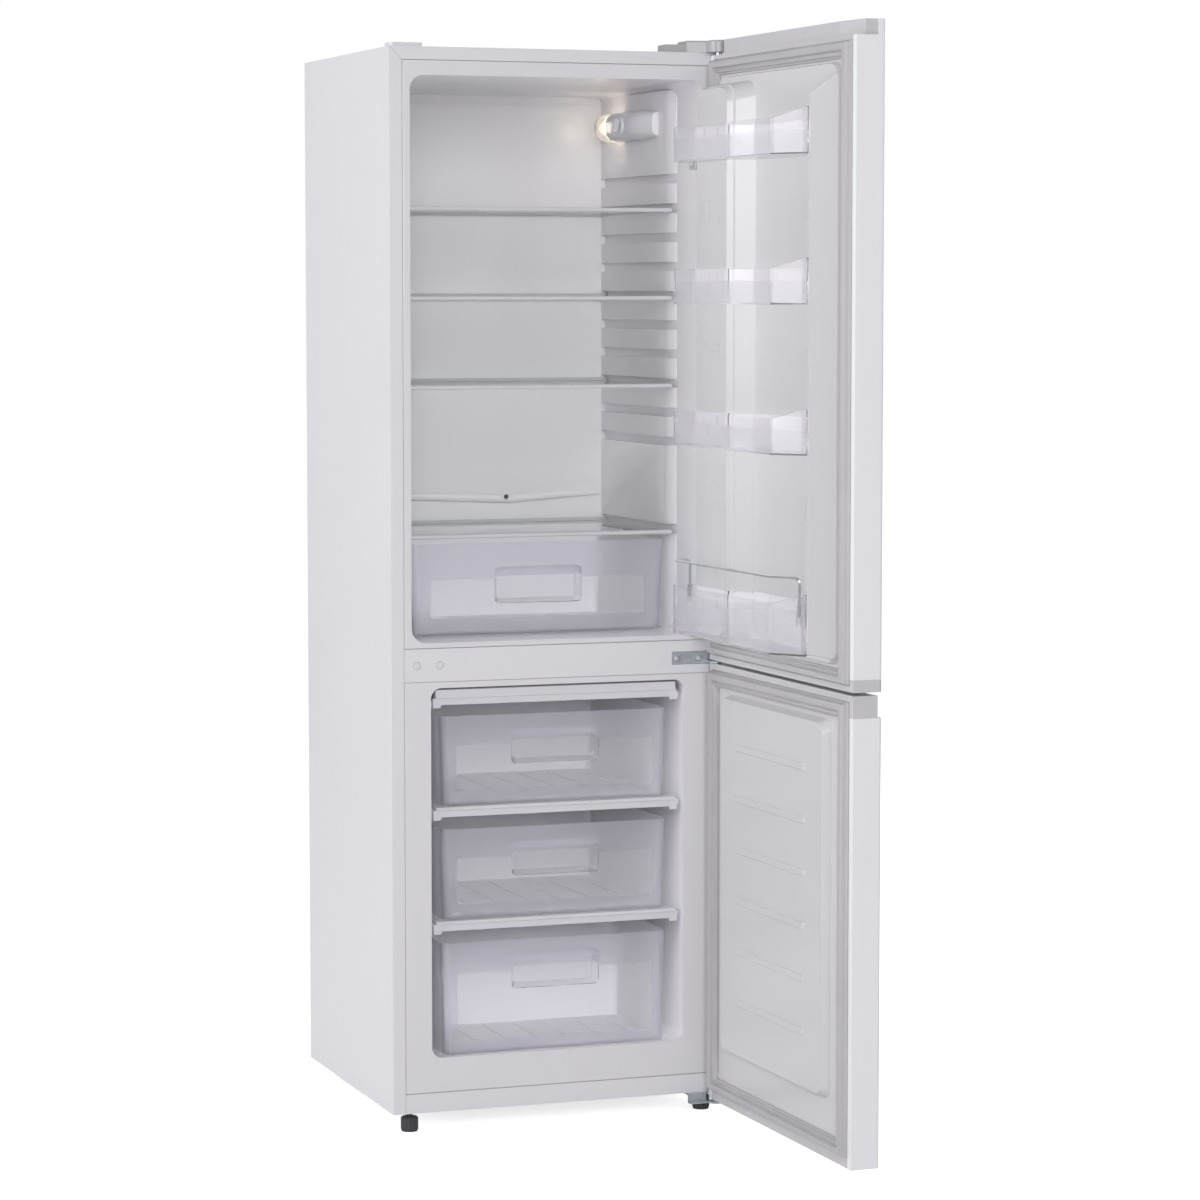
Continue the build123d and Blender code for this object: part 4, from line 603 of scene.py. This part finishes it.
def latheObject(name, profile, centre, segments=72):
    # profile of (radius, height); the ends on the axis close the form
    points, faces = [], []
    for radius, height in profile:
        for k in range(segments):
            turn = 2 * math.pi * k / segments
            points.append((centre[0] + radius * math.cos(turn),
                           centre[1] + radius * math.sin(turn), height))
    for row in range(len(profile) - 1):
        faces += ringFaces(segments, row, row + 1)
    return meshObject(name, points, faces, creaseAngle)


def prismObject(name, outline, low, high):
    count = len(outline)
    points = [(x, y, z) for z in (low, high) for x, y in outline]
    faces = [tuple(range(count)), tuple(range(count, 2 * count))]
    return meshObject(name, points, faces + ringFaces(count, 0, 1), creaseAngle)


def roundedOutline(x0, x1, y0, y1, radius, steps=6):
    outline = []
    for cx, cy, start in ((x1 - radius, y1 - radius, 0), (x0 + radius, y1 - radius, 90),
                          (x0 + radius, y0 + radius, 180), (x1 - radius, y0 + radius, 270)):
        for k in range(steps + 1):
            turn = math.radians(start + 90 * k / steps)
            outline.append((cx + radius * math.cos(turn), cy + radius * math.sin(turn)))
    return outline


def joined(name, parts):
    mesh = bpy.data.meshes.new(name)
    bm = bmesh.new()
    for part in parts:
        bm.from_mesh(part.data)
        bpy.data.objects.remove(part)
    bm.to_mesh(mesh)
    bm.free()
    return addObject(name, mesh)


def cutAway(obj, cutter, name):
    cut = obj.modifiers.new(name, "BOOLEAN")
    cut.operation = "DIFFERENCE"
    cut.object = cutter
    applyModifiers(obj)
    bpy.data.objects.remove(cutter)


def smoothProfile(points, steps):
    # a curve through the points, closed only by its own first and last one
    out = []
    count = len(points)
    for i in range(count - 1):
        before, start = points[max(i - 1, 0)], points[i]
        end, after = points[i + 1], points[min(i + 2, count - 1)]
        for k in range(steps):
            t = k / steps
            out.append(tuple(
                0.5 * (2 * b + (c - a) * t + (2 * a - 5 * b + 4 * c - d) * t * t
                       + (3 * b - a - 3 * c + d) * t ** 3)
                for a, b, c, d in zip(before, start, end, after)))
    out.append(points[-1])
    return out


sealShape = {
    # (inwards from the outer edge, reach) in mm: skirt, magnet pocket, fold, inner lip
    "profile": [(0.2, 0.4), (0.8, 2.6), (2.2, 4.2), (2.6, 7.0), (3.4, 9.8), (4.8, 12.4),
                (7.0, 13.4), (10.5, 13.5), (14.0, 13.3), (16.4, 12.2), (17.4, 9.6),
                (18.2, 7.4), (19.6, 6.4), (21.4, 7.6), (23.2, 9.0), (25.2, 8.6),
                (26.4, 6.4), (27.2, 4.6), (28.8, 4.2), (30.2, 3.2), (30.8, 0.4)],
    "steps": 3, "smoothAngle": 60,
    # outer edge from the door's ends; foot and head: the lower and upper run's own widths
    "outer": 14.0, "width": 31.0, "foot": 24.0, "head": 28.0, "doorWidth": 595.0,
    # hinge, lower and upper outer edge of each seal
    "spans": {"upper_gasket": ("upper_door_hinge", 800.0, 1817.0),
              "lower_gasket": ("lower_door_hinge", 40.0, 773.0)},
}


def buildSeal(node):
    shape = sealShape
    hinge, low, high = shape["spans"][node]
    matrix = doorMatrix(hinge)
    profile = smoothProfile(shape["profile"], shape["steps"])
    points, faces = [], []
    for inwards, reach in profile:
        share = inwards / shape["width"]
        s0, s1 = shape["outer"] + inwards, shape["doorWidth"] - shape["outer"] - inwards
        z0, z1 = low + share * shape["foot"], high - share * shape["head"]
        for s, z in ((s0, z0), (s1, z0), (s1, z1), (s0, z1)):
            points.append(matrix @ Vector((s * mm, reach * mm, z * mm)))
    for row in range(len(profile)):
        faces += ringFaces(4, row, (row + 1) % len(profile))
    finishPiece(meshObject(node + "_folded", points, faces, shape["smoothAngle"]), node)


controlUnit = {
    # millimetres along the shared frame; stations run from the front to the back
    "wall": 223.6, "reach": 36, "middle": 1716, "half": 26, "squareness": 2.8,
    "sectionSteps": 32, "smoothAngle": 40,
    "front": 202, "frontReach": 13, "frontHalf": 21.5, "slopeEnd": 272, "slopeSteps": 14,
    "back": 377, "knobAt": 299, "knobTurn": 35,
    # rounded edges of the housing: (how far in, how far along)
    "frontEdge": ((2.6, 0), (1.2, 0.5), (0.3, 1.6), (0, 3.2)),
    "backEdge": ((0, -1.6), (0.5, -0.5), (1.4, 0)),
    # the lamp's dome: a smooth collar, rings, then a cap that narrows to its tip
    "lensGap": 0.3, "lensFall": 429, "lensEnd": 457, "lensWall": 1.5, "lensSteps": 10,
    "collar": 2, "ribPitch": 2.6, "ribDepth": 0.7, "tip": 12, "point": 0.1, "pointInset": 6,
}


def unitSection(y, reach, half, wall):
    # one D-shaped section, flat against the wall
    unit = controlUnit
    power = 2 / unit["squareness"]
    section = []
    for k in range(unit["sectionSteps"] + 1):
        turn = math.radians(-90 + 180 * k / unit["sectionSteps"])
        out = max(math.cos(turn), 0) ** power
        rise = math.copysign(abs(math.sin(turn)) ** power, turn)
        section.append(((wall - reach * out) * mm, y * mm, (unit["middle"] + half * rise) * mm))
    return section


def sectionSkin(name, sections, capped):
    # capped with a face at both ends, or else the last section meets the first
    count = len(sections[0])
    points = [point for section in sections for point in section]
    faces = []
    for row in range(len(sections) - 1):
        faces += ringFaces(count, row, row + 1)
    if capped:
        faces += [tuple(range(count)), tuple(range(len(points) - count, len(points)))]
    else:
        faces += ringFaces(count, 0, len(sections) - 1)
    return meshObject(name, points, faces, controlUnit["smoothAngle"])


def knobMatrix():
    # takes a piece that faces up to the knob's place, facing the shelves
    unit = controlUnit
    face = (unit["wall"] - unit["reach"]) * mm
    return (Matrix.Translation((face, unit["knobAt"] * mm, unit["middle"] * mm))
            @ Matrix.Rotation(math.radians(unit["knobTurn"]), 4, "X")
            @ Matrix.Rotation(math.radians(-90), 4, "Y"))


knobShape = {
    # millimetres; heights count from the housing's face
    "radius": 17.3, "depth": 8, "gap": 1.3, "recess": (-5, 9), "recessSegments": 64,
    "rim": ((0, 2.8), (0.5, 3.7), (1.5, 4.1), (2.6, 4.1), (3.2, 3.7)),   # (inwards, height)
    "barHalf": 14, "barHalfWidth": 3.5, "barRound": 3, "bar": (3.6, 13),
    "barEdge": 1.4, "barEdgeSteps": 3, "barSharp": 60,    # its edges are rounded from 60 degrees on
    "marks": 5, "markTurn": 30, "markAt": 12.3, "markRadius": 0.9, "markSegments": 12,
    "mark": (3, 4.1, 4.3),    # heights of a mark's foot, edge and top
}


def buildHousing():
    unit = controlUnit
    front, reach, half = unit["front"], unit["frontReach"], unit["frontHalf"]
    sections = [unitSection(front + y, reach - inset, half - inset, unit["wall"])
                for inset, y in unit["frontEdge"]]
    edge = unit["frontEdge"][-1][1]
    for k in range(1, unit["slopeSteps"] + 1):
        share = math.sin(math.radians(90 * k / unit["slopeSteps"]))
        y = front + edge + (unit["slopeEnd"] - front - edge) * k / unit["slopeSteps"]
        sections.append(unitSection(y, reach + (unit["reach"] - reach) * share,
                                    half + (unit["half"] - half) * share, unit["wall"]))
    for inset, y in unit["backEdge"]:
        sections.append(unitSection(unit["back"] + y, unit["reach"] - inset,
                                    unit["half"] - inset, unit["wall"]))
    housing = sectionSkin("thermostat_housing_bulged", sections, True)
    ring = knobShape["radius"] * mm + knobShape["gap"] * mm
    low, high = (height * mm for height in knobShape["recess"])
    cutter = latheObject("knobRecess", [(0, low), (ring, low), (ring, high), (0, high)], (0, 0),
                         knobShape["recessSegments"])
    cutter.data.transform(knobMatrix())
    cutAway(housing, cutter, "recess")
    shadeBySharpness(housing, unit["smoothAngle"])
    finishPiece(housing, "thermostat_housing")


def buildLens():
    # a thin clear dome with rings round it, open towards the housing
    unit = controlUnit
    start = unit["back"] + unit["lensGap"]
    outer = [(start, 0), (start + unit["collar"], 0)]
    y = start + unit["collar"]
    while y + unit["ribPitch"] < unit["lensFall"]:
        outer += [(y + unit["ribPitch"] * 0.5, unit["ribDepth"]), (y + unit["ribPitch"], 0)]
        y += unit["ribPitch"]
    rings = [(at, unit["reach"] - dip, unit["half"] - dip) for at, dip in outer]
    depth, tip = unit["lensEnd"] - unit["lensFall"], unit["tip"]
    for k in range(unit["lensSteps"] + 1):
        turn = math.radians(90 * k / unit["lensSteps"])
        rings.append((unit["lensFall"] + depth * math.sin(turn),
                      tip + (unit["reach"] - tip) * math.cos(turn),
                      tip + (unit["half"] - tip) * math.cos(turn)))
    skin = [unitSection(y, reach, half, unit["wall"]) for y, reach, half in rings]
    wall = unit["lensWall"]
    inner = [unitSection(y - (wall if row else 0), reach - 2 * wall, half - wall,
                         unit["wall"] - wall) for row, (y, reach, half) in enumerate(rings)]
    outerPoint, innerPoint = (
        unitSection(unit["lensEnd"] - inset, unit["point"], unit["point"],
                    unit["wall"] - unit["pointInset"]) for inset in (0, wall))
    dome = sectionSkin("lamp_cover_dome", skin + [outerPoint, innerPoint] + inner[::-1], False)
    finishPiece(dome, "lamp_cover")


def buildKnob():
    # a disc with a slanting finger bar and raised marks, facing the shelves
    shape = knobShape
    radius, foot = shape["radius"] * mm, -shape["depth"] * mm
    profile = [(0, foot), (radius, foot)]
    profile += [(radius - inwards * mm, height * mm) for inwards, height in shape["rim"]]
    profile.append((0, profile[-1][1]))
    parts = [latheObject("knobDisc", profile, (0, 0))]
    long, wide = shape["barHalf"] * mm, shape["barHalfWidth"] * mm
    low, high = (height * mm for height in shape["bar"])
    bar = prismObject("knobBar", roundedOutline(-long, long, -wide, wide,
                                                shape["barRound"] * mm), low, high)
    bevel = bar.modifiers.new("edges", "BEVEL")
    bevel.width = shape["barEdge"] * mm
    bevel.segments = shape["barEdgeSteps"]
    bevel.limit_method = "ANGLE"
    bevel.angle_limit = math.radians(shape["barSharp"])
    applyModifiers(bar)
    parts.append(bar)
    size, away = shape["markRadius"] * mm, shape["markAt"] * mm
    low, edge, top = (height * mm for height in shape["mark"])
    for k in range(shape["marks"]):
        turn = math.radians(shape["markTurn"] * (k - shape["marks"] // 2))
        place = (away * math.sin(turn), away * math.cos(turn))
        parts.append(latheObject("knobMark", [(0, low), (size, low), (size, edge), (0, top)],
                                 place, shape["markSegments"]))
    knob = joined("thermostat_knob_disc", parts)
    knob.data.transform(knobMatrix())
    shadeBySharpness(knob, creaseAngle)
    finishPiece(knob, "thermostat_knob")


pot = {
    "centre": (-0.0591, 0.461), "foot": 55.6 * mm, "plate": 3 * mm, "radius": 82 * mm,
    "height": 150 * mm, "round": 30 * mm, "roundSteps": 8,
    "seam": 84 * mm, "seamRise": 1.6 * mm, "seamHeight": 5 * mm, "seamEdge": 0.6 * mm,
    "baseX": 102 * mm, "baseY": 60 * mm, "baseRound": 10 * mm,
}


def buildCompressor():
    x, y = pot["centre"]
    low = pot["foot"] + pot["plate"]
    high = low + pot["height"]
    radius, cut, steps = pot["radius"], pot["round"], pot["roundSteps"]
    profile = [(0, low), (radius - cut, low)]
    for k in range(1, steps + 1):
        turn = math.radians(90 * k / steps)
        profile.append((radius - cut + cut * math.sin(turn), low + cut - cut * math.cos(turn)))
    seam, half, edge = low + pot["seam"], pot["seamHeight"] / 2, pot["seamEdge"]
    proud = radius + pot["seamRise"]
    profile += [(radius, seam - half - edge), (proud, seam - half),
                (proud, seam + half), (radius, seam + half + edge)]
    for k in range(steps + 1):
        turn = math.radians(90 * k / steps)
        profile.append((radius - cut + cut * math.cos(turn), high - cut + cut * math.sin(turn)))
    profile.append((0, high))
    shell = latheObject("potShell", profile, (x, y))
    base = prismObject("potBase", roundedOutline(x - pot["baseX"], x + pot["baseX"],
                                                 y - pot["baseY"], y + pot["baseY"],
                                                 pot["baseRound"]), pot["foot"], low)
    both = joined("compressor_pot", (shell, base))
    shadeBySharpness(both, creaseAngle)
    finishPiece(both, "compressor")


crossScrew = {
    # millimetres; heights count from the screw's place
    "radius": 4.8, "shank": 2.4, "tip": -11.6, "seat": -1.8, "segments": 28,
    "head": ((1, -1.1), (0.9, -0.75), (0.6, -0.5), (0, -0.4)),    # share of the radius, height
    "slotHalf": 2.9, "slotHalfWidth": 0.75, "slot": (-1.3, 1),
    # the upper hinge's screws, head up: offsets from the hinge line and the cabinet's front, turn
    "hingeX": 261.9, "front": 37.0, "roof": 1834.4, "rail": 792,
    "upright": ((-38, 14, 20), (-38, 32, 65), (4, 26, 40)),
    # the middle hinge's, head forwards: offset from the hinge line, turn
    "level": ((-64.4, 30), (-23.8, 75)),
}


def screwMesh():
    # head up, tip down, with a cross recess in its low dome
    head = crossScrew
    radius, shank, tip, seat = (head[key] * mm for key in ("radius", "shank", "tip", "seat"))
    profile = [(0, tip), (shank, tip), (shank, seat), (radius, seat)]
    profile += [(radius * share, height * mm) for share, height in head["head"]]
    body = latheObject("screwBody", profile, (0, 0), head["segments"])
    long, wide = head["slotHalf"] * mm, head["slotHalfWidth"] * mm
    low, high = (height * mm for height in head["slot"])
    for x, y in ((long, wide), (wide, long)):
        outline = [(-x, -y), (x, -y), (x, y), (-x, y)]
        cutAway(body, prismObject("screwSlot", outline, low, high), "slot")
    return body


def screwTree():
    # sets the screw on every point, turned as the point says
    tree = bpy.data.node_groups.new("screwRow", "GeometryNodeTree")
    tree.interface.new_socket("Geometry", in_out="INPUT", socket_type="NodeSocketGeometry")
    screw = tree.interface.new_socket("Screw", in_out="INPUT", socket_type="NodeSocketObject")
    tree.interface.new_socket("Geometry", in_out="OUTPUT", socket_type="NodeSocketGeometry")
    enter = tree.nodes.new("NodeGroupInput")
    leave = tree.nodes.new("NodeGroupOutput")
    spread = tree.nodes.new("GeometryNodeInstanceOnPoints")
    source = tree.nodes.new("GeometryNodeObjectInfo")
    turned = tree.nodes.new("GeometryNodeInputNamedAttribute")
    turned.data_type = "FLOAT_VECTOR"
    real = tree.nodes.new("GeometryNodeRealizeInstances")
    paint = tree.nodes.new("GeometryNodeSetMaterial")
    feed(tree, turned, {"Name": "turn"})
    feed(tree, source, {"Object": enter.outputs["Screw"]})
    feed(tree, spread, {"Points": enter.outputs["Geometry"],
                        "Instance": source.outputs["Geometry"],
                        "Rotation": turned.outputs["Attribute"]})
    tree.links.new(spread.outputs[0], real.inputs[0])
    feed(tree, paint, {"Geometry": real.outputs[0], "Material": materials["zinc_steel"]})
    feed(tree, leave, {"Geometry": paint.outputs["Geometry"]})
    return tree, screw.identifier


def buildScrews():
    # the same screw at every place of the frame's screws: place, tilt forwards, turn
    shape = crossScrew
    hingeX, front = shape["hingeX"], shape["front"]
    places = [((hingeX + dx, front + dy, shape["roof"]), 0, turn)
              for dx, dy, turn in shape["upright"]]
    places += [((hingeX + dx, front, shape["rail"]), 90, turn) for dx, turn in shape["level"]]
    pattern = screwMesh()
    points = bpy.data.meshes.new("screwPlaces")
    points.from_pydata([[length * mm for length in place] for place, _, _ in places], [], [])
    turns = points.attributes.new("turn", "FLOAT_VECTOR", "POINT")
    for index, (_, tilt, turn) in enumerate(places):
        spin = Matrix.Rotation(math.radians(turn), 3, "Z")
        turns.data[index].vector = (Matrix.Rotation(math.radians(tilt), 3, "X") @ spin).to_euler()
    obj = addObject("hinge_screws_cross", points)
    tree, screwInput = screwTree()
    modifier = obj.modifiers.new("screws", "NODES")
    modifier.node_group = tree
    modifier[screwInput] = pattern
    applyModifiers(obj)
    bpy.data.objects.remove(pattern)
    shadeBySharpness(obj, creaseAngle)
    finishPiece(obj, "hinge_screws")


for node in sealShape["spans"]:
    buildSeal(node)
buildHousing()
buildLens()
buildKnob()
buildCompressor()
buildScrews()
print("seals, control unit, compressor and screws built")

studio = {
    "floorSize": 80.0,
    "floorWhite": 0.9,
    "floorLift": 0.72,      # for the camera only: brings the bare floor to white
    "skyForLight": 0.38,
    "softboxes": {          # place, point it faces, width and height, power
        "sideLight": ((-3.8, -0.2, 2.1), (0, 0, 0.9), (2.0, 2.6), 82),
        "frontLight": ((-1.2, -5.1, 2.3), (0, 0, 0.95), (2.0, 2.2), 98),
        "rearLight": ((3.3, 3.4, 2.4), (0, 0.3, 0.9), (2.2, 2.4), 74),
    },
}


def buildFloor():
    half = studio["floorSize"] / 2
    mesh = bpy.data.meshes.new("floor")
    mesh.from_pydata([(-half, -half, 0), (half, -half, 0), (half, half, 0), (-half, half, 0)],
                     [], [(0, 1, 2, 3)])
    floor = addObject("floor", mesh)
    mat, tree, shader, where, out = startMaterial("PaleFloor")
    paint = [studio["floorWhite"]] * 3
    feed(tree, shader, {"Base Color": mottled(tree, where, paint, share=0.99, scale=0.6),
                        "Roughness": 0.6, "Specular IOR Level": 0.1})
    lift = tree.nodes.new("ShaderNodeEmission")
    path = tree.nodes.new("ShaderNodeLightPath")
    feed(tree, lift, {"Strength": mathNode(tree, "MULTIPLY", path.outputs["Is Camera Ray"],
                                           studio["floorLift"])})
    both = tree.nodes.new("ShaderNodeAddShader")
    tree.links.new(shader.outputs[0], both.inputs[0])
    tree.links.new(lift.outputs[0], both.inputs[1])
    tree.links.new(both.outputs[0], out.inputs["Surface"])
    mesh.materials.append(mat)


def buildWorld():
    # plain white for the camera, a dimmer sky for everything else
    world = bpy.data.worlds.new("studio")
    bpy.context.scene.world = world
    world.use_nodes = True
    tree = world.node_tree
    tree.nodes.clear()
    out = tree.nodes.new("ShaderNodeOutputWorld")
    soft = tree.nodes.new("ShaderNodeBackground")
    feed(tree, soft, {"Color": (0.97, 0.97, 1.0, 1), "Strength": studio["skyForLight"]})
    plain = tree.nodes.new("ShaderNodeBackground")
    feed(tree, plain, {"Color": (1, 1, 1, 1), "Strength": 1.0})
    mixByRay(tree, "Is Camera Ray", soft, plain, out)


def softbox(name, place, target, size, power):
    light = bpy.data.lights.new(name, "AREA")
    light.shape = "RECTANGLE"
    light.size, light.size_y = size
    light.energy = power
    obj = addObject(name, light)
    obj.location = place
    obj.rotation_euler = (Vector(target) - Vector(place)).to_track_quat("-Z", "Y").to_euler()


lampGlow = {"place": (0.200, 0.398, 1.716), "power": 0.055, "colour": (1.0, 0.9, 0.72),
            "radius": 0.02}


def buildLampLight():
    light = bpy.data.lights.new("cabinetLamp", "POINT")
    light.energy = lampGlow["power"]
    light.color = lampGlow["colour"]
    light.shadow_soft_size = lampGlow["radius"]
    addObject("cabinetLamp", light).location = lampGlow["place"]


cameraFit = {
    "place": (-2.1548, -6.0876, 1.4266),
    "turn": 19.842,          # degrees from +Y towards +X
    "tilt": -4.645,
    "lens": 114.585,
    "clip": (0.05, 100),
}


def buildCamera():
    data = bpy.data.cameras.new("camera")
    data.lens = cameraFit["lens"]
    data.clip_start, data.clip_end = cameraFit["clip"]
    camera = addObject("camera", data)
    camera.location = cameraFit["place"]
    camera.rotation_euler = (math.radians(90 + cameraFit["tilt"]), 0,
                             -math.radians(cameraFit["turn"]))
    bpy.context.scene.camera = camera


buildFloor()
buildWorld()
for name, values in studio["softboxes"].items():
    softbox(name, *values)
buildLampLight()
buildCamera()
bpy.context.scene.view_settings.view_transform = "Standard"
print("studio ready")
